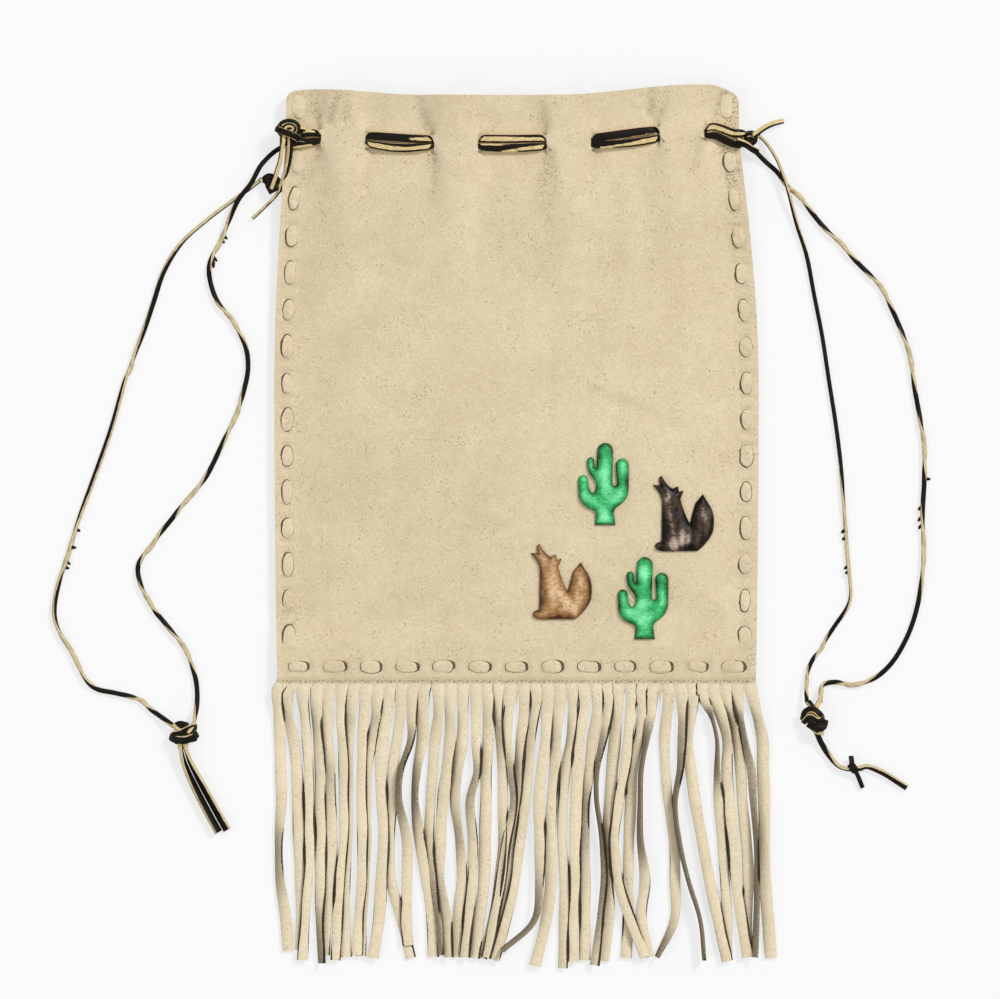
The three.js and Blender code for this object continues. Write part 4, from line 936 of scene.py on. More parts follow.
# How close together the two laces lie, as a share of their places in the solids
CLOSENESS = 0.85
UPPER_FACE = [
    (-116, 0, 0, 0.3, 1, 1), (-104, 0, 0, 0.2, 1, 1), (-96, 0, 0, 0.2, 1, 0.6),
    (-76, 0, 0, 0, 0, 0.9), (-70, 0, 0, 0, 0, 0), (-58, 0.1, 0, 0, 0, 0), (-52, 0, 0.5, 0.6, 0.2, 0),
    (-41, 0, 1, 1, 0.9, 0), (-20, 0, 1, 1, 0.8, 0), (-8, 0, 1, 1, 0.9, 0), (6, 0, 0.9, 1, 0.3, 0),
    (15, 0, 1, 0.8, 0, 0), (37, 0.4, 0, 0, 0, 0), (54, 0.3, 0, 0, 0, 0), (71, 0.5, 0, 0, 0, 0),
    (93, 0.3, 1, 1, 1, 0), (102, 0.2, 0.9, 1, 0.5, 0), (112, 0, 0.5, 1, 0.2, 0),
]
LOWER_FACE = [
    (-116, 1, 0.4, 0, 0, 0), (-104, 0.9, 0.2, 0, 0, 0), (-96, 0.8, 0, 0, 0, 0),
    (-76, 0, 1, 1, 1, 0), (-66, 0, 1, 1, 0.6, 0), (-56, 0, 0.9, 1, 0.3, 0.2), (-48, 0, 0.9, 1, 0.4, 0),
    (-41, 0, 0.9, 1, 1, 0), (-20, 0, 0, 0, 0.2, 1), (-10, 0.3, 0, 0, 0.1, 0.8), (-3, 0.9, 0.6, 0, 0, 0.3),
    (4, 0, 1, 0.8, 0, 0), (15, 0, 1, 1, 0.9, 0), (37, 0, 0, 0, 0, 0), (44, 0.9, 0.3, 0, 0.2, 0),
    (52, 0.2, 0.9, 0.4, 0, 0), (60, 0, 1, 0.9, 0.3, 0), (71, 0, 0.9, 1, 1, 0.2),
    (93, 0, 0, 0, 0, 0.6), (103, 0, 0, 0, 0, 0.3), (114, 0.2, 0, 0, 0, 0.6),
]


def lip_reach(dy):
    """How far a slit's lip stands over the laces, which gives a window its rounded ends."""
    near = min(abs(dy), LIP_RADIUS - 0.2)
    rounded = LIP_RADIUS - math.sqrt(LIP_RADIUS ** 2 - near ** 2)
    return rounded * float(smooth((SLIT_HALF - abs(dy)) / 0.4))


def slit_nearness(x, reach):
    """1 at a slit, 0 from the given reach away."""
    return max(float(smooth(1 - abs(x - MOUTH_SHIFT - s) / reach)) for s in SLITS)


def shown_faces(path, face, offset, side):
    """How bare a mouth lace is at five places across its top; by a slit's lip, black as painted shade."""
    marks = np.array(face, float)
    shown = np.stack([np.interp(path[:, 0], marks[:, 0], marks[:, k]) for k in range(1, 6)], 1)
    to_slit = np.array([min(abs(x - MOUTH_SHIFT - s) for s in SLITS) for x in path[:, 0]])
    reach = np.array([lip_reach(offset * CLOSENESS + 0.45 * k * LACE_WIDTH) for k in (-1, -0.5, 0, 0.5, 1)])
    # by a slit, past the lip's own reach too, the lace is kept black: painted shade round the window's ends
    shown *= smooth((to_slit[:, None] - 0.5 - 1.3 * reach[None]) / 0.6)
    return shown[:, ::-1] if side < 0 else shown


def mouth_lace(name, side, front_end, back_end, face, replaced):
    """A lace that weaves through the front, bends round the far edge and comes back through the back."""
    far = RIGHT_EDGE if side < 0 else LEFT_EDGE
    offset = LACE_OFFSET if side < 0 else -LACE_OFFSET

    def line(x):
        return WINDOW_LINE + float(mouth_rise(x, LACE_LINE)) + 1.2 * float(smooth((x - 92.0) / 8.0))

    def front_height(x):
        return float(front_plain(x, LACE_LINE, 0.0)) + SUEDE + GAP + LACE_THICK / 2

    def back_height(x):
        dip = float(np.clip((abs(x - MOUTH_SHIFT) - SLITS[-1] + 2.5) / 5.0, 0, 1))
        return mix(SUEDE + GAP + LACE_THICK / 2, LACE_BELOW, dip)

    points, turns, widths = [], [], []

    def add(x, y, z, turn=0.0, width=1.0):
        points.append((x, y, z))
        turns.append(turn)
        widths.append(width)

    for x in np.arange(front_end, far + side * 1.5, -side * MOUTH_STEP):
        window = 1 - float(tuck(np.array(x), np.array(WINDOW_LINE)))
        near = slit_nearness(x, 7.0)
        drawn_in = max(1 - window, slit_nearness(x, 4.0))
        dive = LACE_DIVE * (1 - window) * (1 - slit_nearness(x, 5.0))
        sway = 0.2 * window * math.sin(x / 7.0 + 1.4 * side)
        bulge = window * (1 - slit_nearness(x, 15.0))
        pinch = 0.06 * slit_nearness(x, 2.5)
        y = line(x) + offset * (CLOSENESS - 0.12 * drawn_in + 0.12 * bulge - pinch) - 0.35 * bulge + sway
        add(x, y, front_height(x) - dive - (1.4 - 0.7 * window) * near,
            0.16 * window * math.sin(x / 9.0 + 2.0 * side),
            0.96 - 0.17 * drawn_in - pinch + 0.1 * bulge + 0.03 * math.sin(x / 5.0 + side))
    bend = 3 * GAP + LACE_THICK / 2
    for out, share in ((1.1, 0.02), (bend, 0.25), (bend, 0.5), (bend, 0.75), (1.1, 0.98)):
        y = line(far) + mix(offset, -offset, float(smooth(2 * share - 0.5)))
        add(far - side * out, y, mix(LACE_ABOVE, LACE_BELOW, share))
    for x in np.arange(far + side * 1.5, back_end + side * 0.1, side * MOUTH_STEP):
        leaving = 2.4 * float(smooth((9.0 - abs(x - back_end)) / 9.0)) if side < 0 else 0.0
        add(x, line(x) - offset - leaving, back_height(x))
    path = np.array(points)
    ahead = np.gradient(path, axis=0)
    normals = unit(np.stack([-ahead[:, 2], np.zeros(len(path)), ahead[:, 0]], axis=1) * -side)
    turn = smoothed(turns, 4)[:, None]
    normals = normals * np.cos(turn) - np.array([0.0, 1.0, 0.0]) * np.sin(turn)
    vertices, faces, uv, edge = strip_parts(path, normals, LACE_WIDTH - 0.1, LACE_THICK, MOUTH_BEVEL, widths)
    edge = edge.reshape(len(path), -1)
    shown = shown_faces(path, face, offset, side)
    edge[:, 3:8] = shown
    edge[:, 2], edge[:, 8] = shown[:, 0], shown[:, 4]
    lace_piece(name, (vertices, faces, uv, edge.ravel()), LACE_LEATHER, replaced)


mouth_lace("left_mouth_lace", -1, LEFT_EDGE + 8.2, LEFT_EDGE - 1.0, UPPER_FACE, "left_drawstring")
mouth_lace("right_mouth_lace", 1, RIGHT_EDGE + 1.0, RIGHT_EDGE + 3.4, LOWER_FACE, "right_drawstring")


# Panels: a fine sheet, cut open at the slits, given its thickness
HOLE_DEPTH = 0.25
SLIT_TOP, SLIT_BOTTOM = WINDOW_LINE + SLIT_HALF, WINDOW_LINE - SLIT_HALF
SLIT_ROWS = 17
# How close beside a slit the suede's height is taken, and how far its upper lip is raised and curls
BESIDE = 0.01
LIP_LIFT, LIP_CURL = 0.25, 0.35
TOP_CORNER, BOTTOM_CORNER = 5.0, 2.0
# The sewn edge at the bottom: its height, and how far its upper and lower sides are pressed down
HEM, HEM_PRESS, HEM_SINK = 3.5, 1.45, 0.25
# How much the slits' lips are darkened, a painted shade at the window's edge
LIP_SHADE = 0.5
# Fleck patches: rubbed nap, and painted shade at the shaded corners and edges of the panel
FLECK_SHADE_PATCHES = [(107, 134, 5, 18, 1.0), (109, 104, 4, 26, 0.9), (-104, 142, 6, 8, 0.5), (-90, 139, 8, 10, 0.35),
        (-43, 120, 3, 10, 0.7), (14, 102, 4, 16, 0.6), (70, 142, 9, 8, 0.4), (-107, 108, 3, 12, 0.4),
        (117, -136, 3, 14, 0.6), (-50, -20, 30, 40, 0.12), (60, 40, 40, 40, 0.12)]


def worn(x, y):
    """Fleck patches, partly rubbed nap, partly painted shade: centre, reach across, reach along, strength.
    """
    return sum(much * np.exp(-(((x - cx) / rx) ** 2) - ((y - cy) / ry) ** 2)
               for cx, cy, rx, ry, much in FLECK_SHADE_PATCHES)


def panel_columns(step):
    """Places across as shares of the half width, with a column at each slit and one close to either side."""
    slits = [x / (MOUTH_WIDTH / 2) for x in SLITS]
    beside = 0.5 / (MOUTH_WIDTH / 2)
    clear = beside + 0.4 * step / (MOUTH_WIDTH / 2)
    even = np.linspace(-1, 1, int(PANEL_WIDTH / step) + 1)
    even = [u for u in even if min(abs(u - s) for s in slits) > clear]
    edges = [-0.996, -0.988, 0.988, 0.996] + [s + sign * beside for s in slits for sign in (-1, 1)]
    columns = np.array(sorted(even + slits + edges))
    return columns, sorted({int(np.argmin(np.abs(columns - s))) for s in slits})


def panel_rows(step):
    """Heights from the top edge down, closer together at both edges and along the slits."""
    rows = [TOP, TOP - 0.5, TOP - 1.2]
    rows += list(np.linspace(TOP - 2.4, SLIT_TOP, int((TOP - 2.4 - SLIT_TOP) / step) + 1))
    rows += list(np.linspace(SLIT_TOP, SLIT_BOTTOM, SLIT_ROWS))[1:]
    rows += list(np.linspace(SLIT_BOTTOM, BOTTOM + 2.4, int((SLIT_BOTTOM - BOTTOM - 2.4) / step) + 1))[1:]
    return np.array(rows + [BOTTOM + 1.2, BOTTOM + 0.5, BOTTOM])


def open_slits(vertices, x, rows, rise, underside, cut_columns):
    """Parts the suede at the slits: all vertices, the copies to the right of a slit, and the lips."""
    right_copy, extra, lips = {}, [], []
    in_slit = [i for i, row in enumerate(rows) if SLIT_BOTTOM + BESIDE < row < SLIT_TOP - BESIDE]
    for j in cut_columns:
        for i in in_slit:
            at = i * x.shape[1] + j
            left, right = (float(underside(np.array(x[i, j] + e), np.array(rows[i])))
                           for e in (-BESIDE, BESIDE))
            reach = lip_reach(rows[i] - WINDOW_LINE)
            lift = LIP_LIFT + LIP_CURL * min(1.0, reach)
            on_left = left > right
            vertices[at, 2] = left + (lift if on_left else 0)
            vertices[at, 0] += reach if on_left else 0
            right_copy[at] = len(vertices) + len(extra)
            extra.append((x[i, j] - (0 if on_left else reach), rows[i] + rise[i, j],
                          right + (0 if on_left else lift)))
            lips.append(at if on_left else right_copy[at])
    return np.vstack([vertices, extra]), right_copy, lips


def panel_sheet(underside, step, is_front):
    """Vertices, faces, shade and flecks of a panel whose suede parts at the slits."""
    shares_across, cut_columns = panel_columns(step)
    rows = panel_rows(step)
    inset = corner_inset(TOP - rows, TOP_CORNER) + corner_inset(rows - BOTTOM, BOTTOM_CORNER)
    x = centre_x(rows)[:, None] + shares_across[None] * (half_width(rows) - inset)[:, None]
    y = np.repeat(rows[:, None], len(shares_across), axis=1)
    rise = mouth_rise(x, y)
    vertices = np.stack([x, y + rise, underside(x, y)], axis=2).reshape(-1, 3)
    vertices, right_copy, lips = open_slits(vertices, x, rows, rise, underside, cut_columns)
    sheet = [(right_copy.get(a, a), right_copy.get(b, b), c, d) for a, b, c, d in grid_faces(*x.shape)]
    hole = hole_mask(vertices[:, 0], vertices[:, 1])
    flat_y = vertices[:, 1] - mouth_rise(vertices[:, 0], vertices[:, 1])
    crease = creases(vertices[:, 0], flat_y)
    # painted shade: darker in the holes, along the creases, a little above the laces and on the slits' lips
    shade = (1 - 0.12 * hole) * (1 - np.clip(crease * 0.12, 0, 0.2))
    shade *= 1 - 0.04 * smooth((flat_y - LACE_LINE - 6) / 8)
    shade[lips] *= LIP_SHADE
    # dark flecks along the creases and in patches, partly painted shade in folds and corners
    fleck = np.clip(0.55 * crease + worn(vertices[:, 0], flat_y), 0, 1)
    upper, lower = vertices.copy(), vertices.copy()
    upper[:, 2] += SUEDE
    if is_front:
        hem = smooth((BOTTOM + HEM - flat_y) / HEM)
        upper[:, 2] -= HOLE_DEPTH * hole
        upper[:, 2] -= HEM_PRESS * hem
        lower[:, 2] -= HEM_SINK * hem
    else:
        lower[:, 2] += HOLE_DEPTH * hole
    faces = closed_shell(sheet, len(vertices))
    return np.vstack([upper, lower]), faces, np.tile(shade, 2), np.tile(fleck, 2)


def make_panel(name, underside, step, is_front, node_name):
    vertices, faces, shade, fleck = panel_sheet(underside, step, is_front)
    piece = add_object(name, vertices, faces, None, {"shade": shade, "fleck": fleck})
    piece.data.set_sharp_from_angle(angle=SHARP_EDGE)
    finish_piece(piece, PANEL_SUEDE, "suede", node_name)


make_panel("back_suede", back_underside, 2.2, False, "back_panel")
make_panel("front_suede", front_underside, 1.5, True, "front_panel")


# Geometry Nodes helpers
def geometry_tree(name, inputs):
    """A tree that takes geometry and named inputs, each with its socket type and its usual value."""
    tree = bpy.data.node_groups.new(name, "GeometryNodeTree")
    tree.interface.new_socket("Geometry", in_out="INPUT", socket_type="NodeSocketGeometry")
    sockets = {}
    for label, kind, value in inputs:
        made = tree.interface.new_socket(label, in_out="INPUT", socket_type=kind)
        if value is not None:
            made.default_value = value
        sockets[label] = made.identifier
    tree.interface.new_socket("Geometry", in_out="OUTPUT", socket_type="NodeSocketGeometry")
    return tree, tree.nodes.new("NodeGroupInput").outputs, sockets


def named_value(tree, label, kind="FLOAT"):
    return node(tree, "GeometryNodeInputNamedAttribute", data_type=kind, Name=label).outputs["Attribute"]


def end_tree(tree, geometry, finish):
    painted = node(tree, "GeometryNodeSetMaterial", Geometry=geometry, Material=finish)
    node(tree, "NodeGroupOutput", Geometry=painted.outputs["Geometry"])


def grown(name, mesh, tree, sockets, values):
    """The plain mesh object that a tree makes of a mesh."""
    source = linked(bpy.data.objects.new(mesh.name, mesh))
    modifier = source.modifiers.new("shape", "NODES")
    modifier.node_group = tree
    for label, value in values.items():
        modifier[sockets[label]] = value
    return plain_mesh(source, name)


def stitch_tree():
    """Sets one shape on every point, turned and sized by the point, then wrinkles the whole."""
    tree, given, sockets = geometry_tree("stitches on points", [
        ("Shape", "NodeSocketObject", None), ("Wrinkle", "NodeSocketFloat", 0.0002),
        ("Wrinkle Scale", "NodeSocketFloat", 260.0), ("Finish", "NodeSocketMaterial", None)])
    shape = node(tree, "GeometryNodeObjectInfo", Object=given["Shape"])
    turn = node(tree, "FunctionNodeEulerToRotation", Euler=named_value(tree, "turn", "FLOAT_VECTOR"))
    spread = node(tree, "GeometryNodeInstanceOnPoints", Points=given["Geometry"],
                  Instance=shape.outputs["Geometry"], Rotation=turn.outputs["Rotation"],
                  Scale=named_value(tree, "size", "FLOAT_VECTOR"))
    real = node(tree, "GeometryNodeRealizeInstances", Geometry=spread.outputs["Instances"])
    waves = node(tree, "ShaderNodeTexNoise", Scale=given["Wrinkle Scale"], Detail=2.0)
    centred = node(tree, "ShaderNodeVectorMath", operation="SUBTRACT", Vector=waves.outputs["Color"])
    centred.inputs[1].default_value = grey(0.5)
    offset = node(tree, "ShaderNodeVectorMath", operation="SCALE", Vector=centred.outputs["Vector"],
                  Scale=given["Wrinkle"])
    moved = node(tree, "GeometryNodeSetPosition", Geometry=real.outputs["Geometry"],
                 Offset=offset.outputs["Vector"])
    end_tree(tree, moved.outputs["Geometry"], given["Finish"])
    return tree, sockets


STITCH_TREE, STITCH_SOCKETS = stitch_tree()


def set_on_points(name, spots, shape, finish, wrinkle):
    """One mesh of a shape that is set on many spots; a spot is a place, a turn and a size."""
    places, turns, sizes = zip(*spots)
    mesh = bpy.data.meshes.new(name + " points")
    mesh.from_pydata((np.array(places) * MM).tolist(), [], [])
    set_values(mesh, "turn", turns, "FLOAT_VECTOR")
    set_values(mesh, "size", sizes, "FLOAT_VECTOR")
    values = {"Shape": shape, "Wrinkle": wrinkle, "Finish": finish}
    piece = grown(name, mesh, STITCH_TREE, STITCH_SOCKETS, values)
    bpy.data.objects.remove(shape, do_unlink=True)
    return piece


def run_shape(length, width):
    """A short closed strip along X, narrower towards its ends, which turn down."""
    along, wide = 17, 9
    t = np.linspace(-1, 1, along)
    v = np.linspace(-1, 1, wide)[None]
    half = width / 2 * (1 - 0.12 * np.abs(t) ** 3.2)
    bow = -0.9 * smooth((np.abs(t) - 0.8) / 0.2)[:, None]
    x = np.repeat((length / 2 * t)[:, None], wide, 1)
    y = half[:, None] * v
    z = bow + 0.05 * (1 - v ** 2) - 0.35 * THONG_THICK * np.abs(v) ** 6
    top = np.stack([x, y, z], 2).reshape(-1, 3)
    low = np.stack([x, y, bow - THONG_THICK + 0.0 * y], 2).reshape(-1, 3)
    return add_object("run shape", np.vstack([top, low]), closed_shell(grid_faces(along, wide), len(top)))


DOME_RINGS = (0.3, 0.5, 0.6, 0.7, 0.79, 0.87, 0.93, 0.97, 1.0)
# How far a run behind the back reaches in under the end of a stitch
RUN_OVERLAP = 0.4


def oval_dome(name, length, width, height, sunk, squareness, shadow_side, strength=1.0, around=36,
              rings=DOME_RINGS, depth=THONG_THICK):
    """A flat oval cushion along X; rim is 1 on a painted shadow line round it, thickest towards shadow_side.
    """
    a = np.linspace(0, 2 * math.pi, around, endpoint=False)
    cos, sin = np.cos(a), np.sin(a)
    outline_x = np.sign(cos) * np.abs(cos) ** (2 / squareness) * length / 2
    outline_y = np.sign(sin) * np.abs(sin) ** (2 / squareness) * width / 2
    points, rim = [(0.0, 0.0, height)], [0.0]
    for r in rings:
        for k in range(around):
            points.append((r * outline_x[k], r * outline_y[k], height * (1 - r ** 3.4) - sunk * r ** 8))
            facing = 0.0 if shadow_side is None else max(0.0, math.cos(a[k] - shadow_side)) ** 1.4
            start = 0.88 - 0.3 * facing
            rim.append(strength * (0.75 + 0.75 * facing) * float(smooth((r - start) / (0.96 - start))))
    for k in range(around):
        points.append((0.94 * outline_x[k], 0.94 * outline_y[k], -depth))
        rim.append(1.0)
    points.append((0.0, 0.0, -depth))
    rim.append(0.0)
    faces = [(0, 1 + k, 1 + (k + 1) % around) for k in range(around)]
    for r in range(len(rings)):
        low, high = 1 + r * around, 1 + (r + 1) * around
        faces += [(low + k, high + k, high + (k + 1) % around, low + (k + 1) % around)
                  for k in range(around)]
    last = 1 + len(rings) * around
    faces += [(last + k, len(points) - 1, last + (k + 1) % around) for k in range(around)]
    return add_object(name, points, faces, None, {"rim": rim})


def stitch_spots(every):
    """Each stitch on the front, a little uneven in turn and size."""
    spots = []
    for k, (x, y, ahead) in enumerate(every):
        height = float(front_seam(y - float(mouth_rise(x, y)))) + SUEDE + 0.25
        angle = math.atan2(ahead.y, ahead.x) + 0.05 * math.sin(k * 2.1)
        size = (1 + 0.08 * math.sin(k * 3.3), 1 + 0.09 * math.sin(k * 2.3 + 1), 1 + 0.2 * math.sin(k * 1.3))
        spots.append(((x, y, height), (0.04 * math.sin(k * 1.7), 0.0, angle), size))
    return spots


def run_spots(every, run_length):
    """Each run behind the back panel, from the end of a stitch to the start of the next."""
    spots, reach = [], STITCH_LENGTH / 2 - RUN_OVERLAP
    for (x0, y0, a0), (x1, y1, a1) in zip(every[:-1], every[1:]):
        start = Vector((x0, y0, 0)) + a0 * reach
        finish = Vector((x1, y1, 0)) - a1 * reach
        gap = finish - start
        centre = (start + finish) / 2
        height = float(seam_height(centre.y - float(mouth_rise(centre.x, centre.y)))) - GAP
        spots.append(((centre.x, centre.y, height), (math.pi, 0.0, math.atan2(gap.y, gap.x)),
                      (gap.length / run_length, 1.0, 1.0)))
    return spots


def lacing():
    """The thong: stitches over the front, each with a painted shadow line on the side its row shows."""
    every = [stitch for row in STITCHES for stitch in row]
    over = stitch_spots(every)
    bottom = len(STITCHES[0])
    right = bottom + len(STITCHES[1])
    length, width, run = STITCH_LENGTH - 0.4, THONG_WIDTH - 0.1, 10.0
    top_shape = oval_dome("top shape", length, width, 0.25, 0.15, 2.2, None, 0.4)
    left_shape = oval_dome("left shape", length, width, 0.6, 0.35, 2.2, -1.9)
    bottom_shape = oval_dome("bottom shape", length, width, 0.6, 0.35, 2.7, 0.15)
    right_shape = oval_dome("right shape", length - 0.6, width + 0.4, 0.6, 0.35, 2.2, 1.7)
    rows = [
        ("top_stitches", over[:2] + over[-1:], top_shape, 0.0011),
        ("left_stitches", over[2:bottom], left_shape, 0.0011),
        ("bottom_stitches", over[bottom:right], bottom_shape, 0.0011),
        ("right_stitches", over[right:-1], right_shape, 0.0013),
        ("back_runs", run_spots(every, run), run_shape(run, THONG_WIDTH - 0.2), 0.0002),
    ]
    for name, spots, shape, wrinkle in rows:
        piece = set_on_points(name, spots, shape, THONG_SUEDE, wrinkle)
        finish_piece(piece, None, "thong_suede", *(["edge_lacing"] if name == "left_stitches" else []))


def seam_thread():
    """A row of small thread marks along the bottom edge of the front panel."""
    spots, x, k = [], -FRINGE_SPAN, 0
    while x < FRINGE_SPAN:
        y = BOTTOM + 1.1 + 0.25 * math.sin(k * 1.9)
        height = float(front_underside(np.array(x), np.array(y))) + SUEDE - 0.9
        size = (0.8 + 0.35 * math.sin(k * 3.1), 0.8 + 0.25 * math.sin(k * 1.3), 1.0)
        spots.append(((x, y, height), (0.0, 0.0, 0.5 * math.sin(k * 2.7)), size))
        x += 1.9 + 0.6 * math.sin(k * 5.3)
        k += 1
    pill = oval_dome("thread shape", 1.1, 0.7, 0.22, 0.0, 2.0, None, around=8, rings=(0.7, 1.0), depth=0.2)
    finish_piece(set_on_points("seam_thread", spots, pill, SEAM_THREAD, 0.0), None, "thong_suede")


lacing()
seam_thread()


# Fringe: a line for each strand, which one tree gives its flat section
FRINGE_HALF = float(half_width(np.array(BOTTOM)))
HEADER_FLOOR = SEAM_LIFT + LAYER
STRAND_WIDTH, STRAND_THICK, STRAND_BEVEL = 5.5, 1.3, 0.3
STRAND_STEP = 3.0
LEVEL_STEP, TABLE_CLEAR = 1.5, 0.25
FALL_START, FALL_LENGTH = 2.0, 21.0
# Webs between the strands: their least depth, what is added to it, and their half width
WEB_LEAST, WEB_MORE, WEB_HALF = 1.5, 8.5, 1.5
COLUMNS_PER_STRAND = 16
# A strand's width at the seam, as a share of its usual one
ROOT_GIRTH = 1.17
# How far below the seam a strand's place across is given; its tip comes last
STRAND_DROPS = [3.5, 16, 28.5, 43.5, 58.5, 78.5, 98.5, 118.5]
